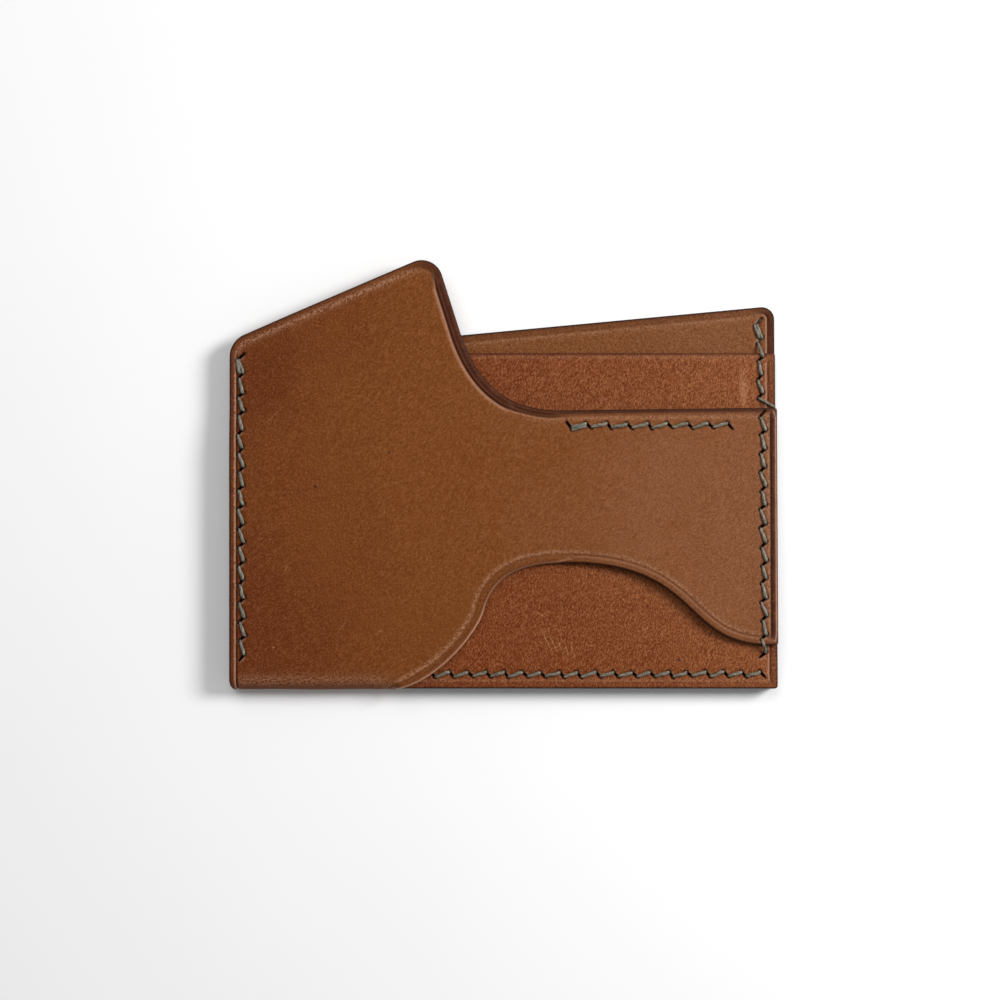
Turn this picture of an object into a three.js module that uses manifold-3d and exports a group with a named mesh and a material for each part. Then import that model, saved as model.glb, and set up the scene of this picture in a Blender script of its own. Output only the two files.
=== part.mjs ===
// Slim hand-stitched leather card holder, lying on its back.
// +X runs along the long side, +Y towards the pocket mouths and the tab, +Z out of the front.
// All sizes are in millimetres. The drawing's zero is the bottom left corner of the fold, and the
// finished group is moved so that its origin lies under the middle of the holder.

import * as THREE from 'three';
import { mergeVertices } from 'three/addons/utils/BufferGeometryUtils.js';
import Module from 'manifold-3d';

const wasm = await Module();
wasm.setup();

// Leather thicknesses and the slack between the layers.
const outerLeather = 1.1;
const pocketLeather = 0.9;
const layerGap = 0.3;
const cardGap = 0.6;

// Heights of the stacked layers, from the back panel up.
const backTop = outerLeather;
const middleBottom = backTop + layerGap;
const middleTop = middleBottom + pocketLeather;
const lowerBottom = middleTop + cardGap;
const lowerTop = lowerBottom + pocketLeather;
const frontBottom = lowerTop + layerGap;
const frontTop = frontBottom + outerLeather;

// The fold that joins the front to the back, along the left part of the bottom edge.
const foldRadius = frontTop / 2;
const foldLength = 30;
const foldTailLength = 36.5;

// Outline of the back panel and the pockets.
const bottomEdge = 0.2;
const bottomRight = 100.05;
const backTopRight = new THREE.Vector2(99.65, 70.25);
const backTopSlope = 0.0938;
const backTopLeft = 62.78;
const middlePocketTop = 61.5;
const lowerPocketTop = 49.2;

// Outline of the front panel: a slanted top with a tab, a throat, a band and an S-shaped cut-out.
const frontLeftCorner = new THREE.Vector2(0, 63.65);
const frontLeftRadius = 4.4;
const tabPeak = new THREE.Vector2(37.4, 79.65);
const tabRadius = 3.8;
const throatStart = new THREE.Vector2(42, 65.2);
const throatEnd = new THREE.Vector2(60.2, 50.9);
const bandTopRight = new THREE.Vector2(99.75, 51.4);
const bandBottomRight = new THREE.Vector2(100, 8.3);
const cutOutCrest = new THREE.Vector2(61.6, 23.2);
const cutOutWaist = new THREE.Vector2(46.3, 14.4);

// Saddle stitches: waxed thread, pressed a little flat, in slanted awl slits.
const threadWidth = 0.65;
const threadHeight = 0.45;
const threadClearance = 0.08;
const threadPost = 0.42;
const slitLength = 1.6;
const slitWidth = 0.92;
const slitTurn = Math.PI / 4;
const stitchLean = 0.3;
const lockStitchWidth = 1.15;
const grooveWidth = 1.5;
const grooveDepth = 0.62;

const curveSteps = 14;

const outerMaterial = new THREE.MeshStandardMaterial({ color: 0x7c4826, roughness: 0.62, metalness: 0 });
const pocketMaterial = new THREE.MeshStandardMaterial({ color: 0x86492a, roughness: 0.45, metalness: 0 });
const threadMaterial = new THREE.MeshStandardMaterial({ color: 0x7b7464, roughness: 0.55, metalness: 0 });

// Draws a line towards a corner and an arc round it, ready for the next line.
function roundCorner(path, corner, next, radius) {
  const before = path.currentPoint.clone();
  const inward = corner.clone().sub(before).normalize();
  const onward = next.clone().sub(corner).normalize();
  const turn = Math.atan2(inward.cross(onward), inward.dot(onward));
  const reach = radius * Math.tan(Math.abs(turn) / 2);
  const start = corner.clone().addScaledVector(inward, -reach);
  const side = Math.sign(turn);
  const centre = start.clone().add(new THREE.Vector2(-inward.y, inward.x).multiplyScalar(side * radius));
  const startAngle = Math.atan2(start.y - centre.y, start.x - centre.x);
  path.lineTo(start.x, start.y);
  path.absarc(centre.x, centre.y, radius, startAngle, startAngle + turn, side < 0);
}

function pointAt(x, y) {
  return new THREE.Vector2(x, y);
}

// A point of the right edge, which leans out a little towards the bottom.
function rightEdgeAt(y) {
  const share = (y - bottomEdge) / (backTopRight.y - bottomEdge);
  return pointAt(bottomRight + share * (backTopRight.x - bottomRight), y);
}

function frontOutline() {
  const shape = new THREE.Shape();
  const foldCorner = 1.2;
  const belowFold = -0.3;
  shape.moveTo(foldLength, belowFold);
  roundCorner(shape, pointAt(0, belowFold), frontLeftCorner, foldCorner);
  roundCorner(shape, frontLeftCorner, tabPeak, frontLeftRadius);
  roundCorner(shape, tabPeak, throatStart, tabRadius);
  shape.lineTo(throatStart.x, throatStart.y);
  shape.bezierCurveTo(45.2, 55.3, 51.2, 50.9, throatEnd.x, throatEnd.y);
  roundCorner(shape, bandTopRight, bandBottomRight, 0.4);
  roundCorner(shape, bandBottomRight, pointAt(96, 8.2), 0.4);
  shape.lineTo(98.4, 8.2);
  shape.bezierCurveTo(82, 8.2, 86.1, cutOutCrest.y, cutOutCrest.x, cutOutCrest.y);
  shape.bezierCurveTo(53.3, cutOutCrest.y, 48.1, 21.3, cutOutWaist.x, cutOutWaist.y);
  shape.bezierCurveTo(45.4, 10.8, 37.9, 1.1, foldLength, 0.1);
  shape.closePath();
  return shape;
}

function backOutline() {
  const shape = new THREE.Shape();
  const slopeStart = backTopRight.x - (backTopRight.y - backTopLeft) / backTopSlope;
  shape.moveTo(foldLength, bottomEdge);
  roundCorner(shape, pointAt(bottomRight, bottomEdge), backTopRight, 0.5);
  roundCorner(shape, backTopRight, pointAt(slopeStart, backTopLeft), 2.2);
  shape.lineTo(slopeStart, backTopLeft);
  roundCorner(shape, pointAt(0, backTopLeft), pointAt(0, foldRadius), frontLeftRadius);
  shape.lineTo(0, foldRadius);
  shape.lineTo(foldLength, foldRadius);
  shape.closePath();
  return shape;
}

// A pocket panel is flush with the back at the sides and the bottom, and clear of the fold.
function pocketOutline(top, leftRadius) {
  const shape = new THREE.Shape();
  shape.moveTo(foldTailLength, bottomEdge);
  roundCorner(shape, pointAt(bottomRight, bottomEdge), backTopRight, 0.5);
  roundCorner(shape, rightEdgeAt(top), pointAt(0, top), 0.4);
  roundCorner(shape, pointAt(0, top), pointAt(0, foldRadius), leftRadius);
  shape.lineTo(0, foldRadius);
  shape.lineTo(foldTailLength, foldRadius);
  shape.closePath();
  return shape;
}

// The fold in section, across the bottom edge, with the front leg and a short back leg.
function foldSection() {
  const shape = new THREE.Shape();
  const frontLeg = tabPeak.y + 1;
  const backLeg = foldRadius + 2;
  const innerRadius = foldRadius - outerLeather;
  shape.moveTo(frontLeg, frontTop);
  shape.lineTo(foldRadius, frontTop);
  shape.absarc(foldRadius, foldRadius, foldRadius, Math.PI / 2, Math.PI * 1.5, false);
  shape.lineTo(backLeg, 0);
  shape.lineTo(backLeg, backTop);
  shape.lineTo(foldRadius, backTop);
  shape.absarc(foldRadius, foldRadius, innerRadius, Math.PI * 1.5, Math.PI / 2, true);
  shape.lineTo(frontLeg, frontBottom);
  shape.closePath();
  return shape;
}

function toSolid(geometry) {
  const bare = geometry.clone();
  bare.deleteAttribute('normal');
  bare.deleteAttribute('uv');
  const merged = mergeVertices(bare, 1e-4);
  return new wasm.Manifold(
    new wasm.Mesh({
      numProp: 3,
      vertProperties: merged.attributes.position.array,
      triVerts: Uint32Array.from(merged.index.array),
    }),
  );
}

function toMesh(name, solid, material) {
  const { vertProperties, triVerts } = solid.getMesh();
  const geometry = new THREE.BufferGeometry();
  geometry.setAttribute('position', new THREE.BufferAttribute(vertProperties, 3));
  geometry.setIndex(new THREE.BufferAttribute(triVerts, 1));
  geometry.computeVertexNormals();
  const mesh = new THREE.Mesh(geometry, material);
  mesh.name = name;
  return mesh;
}

// A flat panel of the outline, lying between two heights.
function panel(shape, bottom, top) {
  const geometry = new THREE.ExtrudeGeometry(shape, {
    depth: top - bottom,
    bevelEnabled: false,
    curveSegments: curveSteps,
  });
  geometry.translate(0, 0, bottom);
  return toSolid(geometry);
}

// The section stands in the YZ plane and runs along +X.
function alongX(shape, length) {
  const geometry = new THREE.ExtrudeGeometry(shape, {
    depth: length,
    bevelEnabled: false,
    curveSegments: curveSteps,
  });
  const yAxis = new THREE.Vector3(0, 1, 0);
  const zAxis = new THREE.Vector3(0, 0, 1);
  const xAxis = new THREE.Vector3(1, 0, 0);
  geometry.applyMatrix4(new THREE.Matrix4().makeBasis(yAxis, zAxis, xAxis));
  return toSolid(geometry);
}

// One awl slit, a slanted diamond in plan, between two heights.
function slit(at, angle, bottom, top) {
  const shape = new THREE.Shape();
  const along = pointAt(slitLength / 2, 0).rotateAround(pointAt(0, 0), angle);
  const across = pointAt(0, slitWidth / 2).rotateAround(pointAt(0, 0), angle);
  shape.moveTo(at.x + along.x, at.y + along.y);
  shape.lineTo(at.x + across.x, at.y + across.y);
  shape.lineTo(at.x - along.x, at.y - along.y);
  shape.lineTo(at.x - across.x, at.y - across.y);
  shape.closePath();
  return panel(shape, bottom, top);
}

// A straight length of thread with a flat section between two points. acrossSeam is the way that
// the section is wide.
function threadLength(from, to, width, acrossSeam) {
  const run = to.clone().sub(from);
  const along = run.clone().normalize();
  const up = new THREE.Vector3().crossVectors(along, acrossSeam).normalize();
  const wide = new THREE.Vector3().crossVectors(up, along);
  const box = new THREE.BoxGeometry(run.length() + threadHeight, width, threadHeight);
  box.applyMatrix4(new THREE.Matrix4().makeBasis(along, wide, up));
  const middle = from.clone().add(to).multiplyScalar(0.5);
  box.translate(middle.x, middle.y, middle.z);
  return toSolid(box);
}

function threadPostAt(hole, bottom, top) {
  const post = new THREE.BoxGeometry(threadPost, threadPost, top - bottom);
  post.translate(hole.x, hole.y, (bottom + top) / 2);
  return toSolid(post);
}

// A seam is a row of slits from one end to the other. Its steps say how high the top surface is,
// each from a place along the seam to the next.
class Seam {
  constructor({ name, from, to, stitches, steps, underside, slitAngle, lockStitch, grooved }) {
    Object.assign(this, { name, from, to, stitches, steps, underside, slitAngle, lockStitch });
    this.direction = to.clone().sub(from).normalize();
    this.side = pointAt(-this.direction.y, this.direction.x);
    this.across = new THREE.Vector3(this.side.x, this.side.y, 0);
    this.pitch = from.distanceTo(to) / stitches;
    this.undersideThread = grooved ? grooveDepth / 2 : underside - threadClearance - threadHeight / 2;
    this.holes = [];
    for (let i = 0; i <= stitches; i += 1) {
      this.holes.push(from.clone().lerp(to, i / stitches));
    }
  }

  surfaceAt(distance) {
    const passed = this.steps.filter((step) => distance >= step.start);
    return passed[passed.length - 1].height;
  }

  // The slits reach up to the surface that the stitches lie on, and no further.
  slits() {
    const bottom = this.underside - cardGap / 2;
    const cuts = this.holes.map((hole, i) => {
      const top = this.surfaceAt(i * this.pitch) + layerGap / 2;
      return slit(hole, this.slitAngle, bottom, top);
    });
    return wasm.Manifold.union(cuts);
  }

  // The shallow channel that the thread lies in on the outer face of the back panel.
  groove() {
    const middle = this.from.clone().lerp(this.to, 0.5);
    const length = this.from.distanceTo(this.to) + grooveWidth;
    const channel = new THREE.BoxGeometry(length, grooveWidth, grooveDepth * 2);
    channel.rotateZ(Math.atan2(this.direction.y, this.direction.x));
    channel.translate(middle.x, middle.y, 0);
    return toSolid(channel);
  }

  placeOnTop(distance, sideways, height) {
    const at = this.from.clone().addScaledVector(this.direction, distance);
    at.addScaledVector(this.side, sideways * stitchLean);
    return new THREE.Vector3(at.x, at.y, height + threadClearance + threadHeight / 2);
  }

  frontStitch(index) {
    const start = index * this.pitch;
    const end = start + this.pitch;
    const low = this.surfaceAt(start);
    const high = this.surfaceAt(end);
    const points = [this.placeOnTop(start, -1, low)];
    if (low !== high) {
      const edge = this.steps.find((step) => step.start > start && step.start <= end).start;
      const clear = threadClearance + threadHeight / 2;
      const outside = high > low ? edge - clear : edge + clear;
      points.push(this.placeOnTop(outside, 0, low), this.placeOnTop(outside, 0, high));
    }
    points.push(this.placeOnTop(end, 1, high));
    const width = this.lockStitch && index === 0 ? lockStitchWidth : threadWidth;
    return points.slice(1).map((point, i) => threadLength(points[i], point, width, this.across));
  }

  backStitch(index) {
    const ends = [this.holes[index], this.holes[index + 1]];
    const [start, end] = ends.map((hole) => new THREE.Vector3(hole.x, hole.y, this.undersideThread));
    return threadLength(start, end, threadWidth, this.across);
  }

  thread() {
    const pieces = this.holes.map((hole, i) => {
      const overThread = this.surfaceAt(i * this.pitch) + threadClearance + threadHeight / 2;
      return threadPostAt(hole, this.undersideThread, overThread);
    });
    for (let i = 0; i < this.stitches; i += 1) {
      pieces.push(...this.frontStitch(i), this.backStitch(i));
    }
    return wasm.Manifold.union(pieces);
  }
}

const rightSeamTop = 67.2;
const bottomSeamY = 2.8;
const bandSeamY = 48.2;

const leftSeam = new Seam({
  name: 'left_seam_thread',
  from: pointAt(2.15, 60.6),
  to: pointAt(2.4, 6.1),
  stitches: 16,
  steps: [{ start: 0, height: frontTop }],
  underside: 0,
  slitAngle: slitTurn,
  lockStitch: true,
  grooved: true,
});

const rightSeam = new Seam({
  name: 'right_seam_thread',
  from: pointAt(97.2, rightSeamTop),
  to: pointAt(97.2, 6.3),
  stitches: 18,
  steps: [
    { start: 0, height: backTop },
    { start: rightSeamTop - middlePocketTop, height: middleTop },
    { start: rightSeamTop - bandTopRight.y, height: frontTop },
    { start: rightSeamTop - bandBottomRight.y + 0.15, height: lowerTop },
  ],
  underside: 0,
  slitAngle: slitTurn,
  lockStitch: true,
  grooved: true,
});

const bottomSeam = new Seam({
  name: 'bottom_seam_thread',
  from: pointAt(37.15, bottomSeamY),
  to: pointAt(97.15, bottomSeamY),
  stitches: 18,
  steps: [{ start: 0, height: lowerTop }],
  underside: 0,
  slitAngle: -slitTurn,
  lockStitch: false,
  grooved: true,
});

const bandSeam = new Seam({
  name: 'band_seam_thread',
  from: pointAt(61.9, bandSeamY),
  to: pointAt(91.1, bandSeamY),
  stitches: 8,
  steps: [{ start: 0, height: frontTop }],
  underside: lowerBottom,
  slitAngle: -slitTurn,
  lockStitch: true,
  grooved: false,
});

const outerSeams = [leftSeam, rightSeam, bottomSeam];
const allSeams = [...outerSeams, bandSeam];

function cutAll(solid, tools) {
  return tools.reduce((remaining, tool) => remaining.subtract(tool), solid);
}

function outerWrap() {
  const wrapped = alongX(foldSection(), bandBottomRight.x + 1);
  const front = wrapped.intersect(panel(frontOutline(), -1, frontTop + 1));
  const back = panel(backOutline(), 0, backTop);
  const whole = front.add(back);
  const slits = allSeams.map((seam) => seam.slits());
  const grooves = outerSeams.map((seam) => seam.groove());
  return cutAll(whole, [...slits, ...grooves]);
}

function pocket(top, leftRadius, bottom, seams) {
  const flat = panel(pocketOutline(top, leftRadius), bottom, bottom + pocketLeather);
  return cutAll(flat, seams.map((seam) => seam.slits()));
}

const holder = new THREE.Group();
holder.name = 'card_holder';
holder.add(toMesh('outer_wrap', outerWrap(), outerMaterial));
holder.add(toMesh('middle_pocket', pocket(middlePocketTop, 3, middleBottom, outerSeams), pocketMaterial));
holder.add(toMesh('lower_pocket', pocket(lowerPocketTop, 1, lowerBottom, allSeams), pocketMaterial));
for (const seam of allSeams) {
  holder.add(toMesh(seam.name, seam.thread(), threadMaterial));
}

// The origin goes under the middle of the holder, in the plane of the back panel's face.
const bounds = new THREE.Box3().setFromObject(holder);
const centre = bounds.getCenter(new THREE.Vector3());
holder.position.set(-centre.x, -centre.y, -bounds.min.z);

export default holder;
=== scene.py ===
import math

import bpy
import numpy as np
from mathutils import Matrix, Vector, kdtree
from mathutils.geometry import delaunay_2d_cdt


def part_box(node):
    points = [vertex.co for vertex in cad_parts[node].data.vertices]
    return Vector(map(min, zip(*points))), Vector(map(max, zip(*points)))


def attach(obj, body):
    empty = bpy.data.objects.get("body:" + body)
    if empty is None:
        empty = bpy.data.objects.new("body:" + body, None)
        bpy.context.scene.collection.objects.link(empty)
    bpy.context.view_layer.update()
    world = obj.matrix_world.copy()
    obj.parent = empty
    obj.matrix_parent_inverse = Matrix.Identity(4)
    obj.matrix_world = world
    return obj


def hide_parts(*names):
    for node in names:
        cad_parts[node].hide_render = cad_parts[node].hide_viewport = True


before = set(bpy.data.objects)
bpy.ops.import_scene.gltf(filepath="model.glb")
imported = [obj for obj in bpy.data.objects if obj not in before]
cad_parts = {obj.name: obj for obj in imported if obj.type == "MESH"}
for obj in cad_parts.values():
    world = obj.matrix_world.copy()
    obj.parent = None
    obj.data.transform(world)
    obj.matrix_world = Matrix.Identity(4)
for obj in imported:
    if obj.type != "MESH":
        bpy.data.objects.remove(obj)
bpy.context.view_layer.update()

# A slim leather card holder, sewn by hand. One long piece of outer leather is the front and the
# back, joined by a fold along the left part of the bottom edge, and two pockets lie between them.
# Everything here is drawn in millimetres, from the bottom left corner of the fold.

MM = 0.001
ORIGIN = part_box("outer_wrap")[0]


def drawing_box(node):
    """The lowest and highest corner of a CAD node, in the drawing's millimetres."""
    return [np.array(corner - ORIGIN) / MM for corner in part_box(node)]


WRAP_HIGH = drawing_box("outer_wrap")[1]
MIDDLE_LOW, MIDDLE_HIGH = drawing_box("middle_pocket")
LOWER_LOW, LOWER_HIGH = drawing_box("lower_pocket")

# Heights of the layers, from the back panel up.
FRONT_TOP = WRAP_HIGH[2]
OUTER_LEATHER = 1.1
BACK_TOP = OUTER_LEATHER
MIDDLE_BOTTOM, MIDDLE_TOP = MIDDLE_LOW[2], MIDDLE_HIGH[2]
LOWER_BOTTOM, LOWER_TOP = LOWER_LOW[2], LOWER_HIGH[2]
# Where the layers meet in the seams, from the back up.
BACK_JOINT = FRONT_TOP * 0.245
MIDDLE_JOINT = FRONT_TOP * 0.5
FRONT_JOINT = FRONT_TOP - BACK_JOINT

# Outlines, as in the CAD model.
HOLDER_RIGHT = WRAP_HIGH[0]
FOLD_RADIUS = FRONT_TOP / 2
FOLD_END = 30.0
BOTTOM_EDGE = MIDDLE_LOW[1]
# Where the pockets start along the bottom edge, just past the end of the fold.
POCKET_FOOT = FOLD_END + 1.5
BACK_TOP_RIGHT = np.array([HOLDER_RIGHT - 0.4, 70.25])
BACK_TOP_LEFT = 62.78
BACK_TOP_SLOPE = 0.0938
MIDDLE_POCKET_TOP = MIDDLE_HIGH[1]
LOWER_POCKET_TOP = LOWER_HIGH[1]
FRONT_LEFT_CORNER = np.array([0, 63.65])
SIDE_CORNER_RADIUS = 4.4
BACK_CORNER_RADIUS = 2.2
FOOT_CORNER_RADIUS = 0.5
BAND_CORNER_RADIUS = 0.4
TAB_PEAK = np.array([37.4, 79.65])
TAB_RADIUS = 3.8
THROAT_START = np.array([42, 65.2])
THROAT_END = np.array([60.2, 50.9])
BAND_TOP_RIGHT = np.array([99.75, 51.4])
BAND_BOTTOM_RIGHT = np.array([100, 8.3])
BAND_TIP = np.array([98.4, 8.2])
CUT_OUT_CREST = np.array([61.6, 23.2])
CUT_OUT_WAIST = np.array([46.3, 14.4])
CUT_OUT_FOOT = np.array([FOLD_END, 0.1])

# How far from the edge the layers are sewn flat, and how far in a card has its full room.
SEWN_WIDTH = 3.4
CARD_ROOM = 8

# How far the leather stands out or sinks in, where it is bent, sewn and pierced.
FRONT_ARCH = 0.16
FRONT_SINK = 0.75
BAND_CURL = 0.42
FOLD_PINCH = 0.6
FRONT_CHANNEL, BACK_CHANNEL, POCKET_CHANNEL = 0.26, 0.5, 0.24
FRONT_SLIT_DIP, POCKET_SLIT_DIP = 0.3, 0.28
FRONT_LIP, POCKET_LIP = 0.12, 0.1
GATHER = 0.05

# Thread and awl slits.
THREAD_WIDTH = 0.62
THREAD_HEIGHT = 0.46
SLIT_HALF_LENGTH = 0.9
SLIT_HALF_WIDTH = 0.2
SLIT_POINTS = 14
# How far from the middle of a slit the two threads pass through it.
THREAD_SPREAD = 0.55
# How far the hidden threads' middle is from the lowest face of the back, or from the underside of
# the lower pocket in the band's seam.
UNDER_THREAD = 0.3
# How far from a slit's rim the leather sinks in.
SLIT_DIP_REACH = 0.17
# How far beside the first stitch the doubled thread lies.
LOCK_SPACING = 0.5
# How unevenly the slits are punched: in place, and in their turn in radians.
SLIT_WANDER = 0.07
SLIT_TURN_WANDER = 0.1


def smooth(value, zero_at, one_at):
    """Rises smoothly from 0 to 1 as the value goes from one place to the other."""
    share = np.clip((value - zero_at) / (one_at - zero_at), 0, 1)
    return share * share * (3 - 2 * share)


def hump(value, centre, width):
    """A bell-shaped rise to 1 round the centre."""
    return np.exp(-(((value - centre) / width) ** 2))


def ripple(x, y, seed, size):
    """Smooth made-up unevenness between about -1 and 1, with features of that size."""
    source = np.random.default_rng(seed)
    total = np.zeros_like(x)
    waves = 9
    for _ in range(waves):
        angle = source.uniform(0, math.tau)
        pitch = size * source.uniform(0.7, 1.6)
        phase = source.uniform(0, math.tau)
        along = x * math.cos(angle) + y * math.sin(angle)
        total = total + np.sin(math.tau * along / pitch + phase)
    tallest = 1.4
    return total / math.sqrt(waves) / tallest


# --- Outlines ---------------------------------------------------------------------------------


def cubic(start, first_handle, second_handle, end, steps=40):
    """Points along a cubic curve, after its start."""
    points = []
    for t in np.linspace(0, 1, steps + 1)[1:]:
        at = (1 - t) ** 3 * start + 3 * (1 - t) ** 2 * t * np.array(first_handle)
        points.append(at + 3 * (1 - t) * t * t * np.array(second_handle) + t ** 3 * np.array(end))
    return points


class Outline:
    """A closed outline, drawn anticlockwise. Every stretch of it has an edge name."""

    def __init__(self, start):
        self.points = [np.array(start, float)]
        self.edges = []

    def line(self, to, edge):
        """A straight line from the last point."""
        self.points.append(np.array(to, float))
        self.edges.append(edge)

    def corner(self, at, onward, radius, edge, arc_edge=None):
        """A line towards a corner and an arc round it, ready for the next line."""
        at, onward = np.array(at, float), np.array(onward, float)
        inward = (at - self.points[-1]) / np.linalg.norm(at - self.points[-1])
        outward = (onward - at) / np.linalg.norm(onward - at)
        turn = math.atan2(inward[0] * outward[1] - inward[1] * outward[0], inward @ outward)
        start = at - inward * radius * math.tan(abs(turn) / 2)
        side = math.copysign(radius, turn)
        centre = start + side * np.array([-inward[1], inward[0]])
        self.line(start, edge)
        for share in np.linspace(0, 1, 13)[1:]:
            c, s = math.cos(turn * share), math.sin(turn * share)
            x, y = start - centre
            self.line(centre + [x * c - y * s, x * s + y * c], arc_edge or edge)

    def close(self, edge):
        """The last stretch, back to the start."""
        self.edges.append(edge)
        return self

    def sampled(self, step):
        """Evenly spaced points round the outline, and the edge that each is on."""
        points = np.array(self.points + self.points[:1])
        lengths = np.linalg.norm(np.diff(points, axis=0), axis=1)
        places = np.concatenate([[0], np.cumsum(lengths)])
        count = round(places[-1] / step)
        at = np.arange(count) * places[-1] / count
        x = np.interp(at, places, points[:, 0])
        y = np.interp(at, places, points[:, 1])
        which = np.searchsorted(places, at, side="right") - 1
        return np.column_stack([x, y]), [self.edges[min(i, len(self.edges) - 1)] for i in which]


def front_in_blank(at):
    """A point of the front's plan, moved to the flat blank that the wrap is cut from."""
    if at[1] >= FOLD_RADIUS:
        return at
    angle = math.asin(min((FOLD_RADIUS - at[1]) / FOLD_RADIUS, 1))
    return np.array([at[0], FOLD_RADIUS - FOLD_RADIUS * angle])


def back_in_blank(x, y):
    """A point of the back's plan, moved to the blank."""
    return np.array([x, -y - FOLD_RADIUS * (math.pi - 2)])


# The cut-out from the fold to the band's tip, as cubic curves: two handles, the end and an edge name.
CUT_OUT_CURVES = [
    ((37.9, 1.1), (45.4, 10.8), CUT_OUT_WAIST, "cut_out_foot"),
    ((48.1, 21.3), (53.3, CUT_OUT_CREST[1]), CUT_OUT_CREST, "cut_out"),
    ((86.1, CUT_OUT_CREST[1]), (82, 8.2), BAND_TIP, "cut_out_right"),
]


def cut_out_points():
    """The plan of the cut-out's edge: its points after the first, each with an edge name."""
    start = CUT_OUT_FOOT
    made = []
    for first_handle, second_handle, end, edge in CUT_OUT_CURVES:
        made += [(point, edge) for point in cubic(start, first_handle, second_handle, end)]
        start = end
    return made


def wrap_outline():
    """The blank of the outer wrap, seen from its grain side: the front above, the back below."""
    slope_start = BACK_TOP_RIGHT[0] - (BACK_TOP_RIGHT[1] - BACK_TOP_LEFT) / BACK_TOP_SLOPE
    outline = Outline(back_in_blank(0, 40))
    far_corner = back_in_blank(*BACK_TOP_RIGHT)
    near_corner = back_in_blank(HOLDER_RIGHT, BOTTOM_EDGE)
    slope = back_in_blank(slope_start, BACK_TOP_LEFT)
    outline.corner(back_in_blank(0, BACK_TOP_LEFT), slope, SIDE_CORNER_RADIUS, "back_left")
    outline.line(slope, "back_top")
    outline.corner(far_corner, near_corner, BACK_CORNER_RADIUS, "back_top", "back_right")
    outline.corner(near_corner, back_in_blank(50, BOTTOM_EDGE), FOOT_CORNER_RADIUS, "back_right")
    outline.line(back_in_blank(FOLD_END + 1.6, BOTTOM_EDGE), "back_bottom")
    outline.line((FOLD_END + 0.3, -1.4), "notch")
    outline.line(front_in_blank(CUT_OUT_FOOT), "notch")
    for point, edge in cut_out_points():
        outline.line(front_in_blank(point), edge)
    outline.corner(BAND_BOTTOM_RIGHT, BAND_TOP_RIGHT, BAND_CORNER_RADIUS, "cut_out_tip", "band_right")
    outline.corner(BAND_TOP_RIGHT, THROAT_END, BAND_CORNER_RADIUS, "band_right")
    outline.line(THROAT_END, "band_top")
    throat = cubic(THROAT_END, (51.2, THROAT_END[1]), (45.2, 55.3), THROAT_START)
    for number, point in enumerate(throat):
        outline.line(point, "throat_end" if number < len(throat) // 3 else "throat")
    outline.corner(TAB_PEAK, FRONT_LEFT_CORNER, TAB_RADIUS, "tab_side", "tab_peak")
    outline.corner(FRONT_LEFT_CORNER, (0, 40), SIDE_CORNER_RADIUS, "slant")
    outline.line((0, FOLD_RADIUS), "left")
    return outline.close("left")


def pocket_outline(top, left_radius):
    """A pocket panel: flush with the back at the sides and the bottom, and clear of the fold."""
    share = (top - BOTTOM_EDGE) / (BACK_TOP_RIGHT[1] - BOTTOM_EDGE)
    right_at_top = (HOLDER_RIGHT + share * (BACK_TOP_RIGHT[0] - HOLDER_RIGHT), top)
    outline = Outline((50, BOTTOM_EDGE))
    outline.corner((HOLDER_RIGHT, BOTTOM_EDGE), right_at_top, FOOT_CORNER_RADIUS, "pocket_bottom")
    outline.corner(right_at_top, (50, top), BAND_CORNER_RADIUS, "pocket_right")
    outline.corner((0, top), (0, 20), left_radius, "mouth")
    outline.line((0, FOLD_RADIUS), "pocket_left")
    outline.line((POCKET_FOOT, FOLD_RADIUS), "hidden")
    outline.line((POCKET_FOOT, BOTTOM_EDGE), "hidden")
    return outline.close("pocket_bottom")


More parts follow.
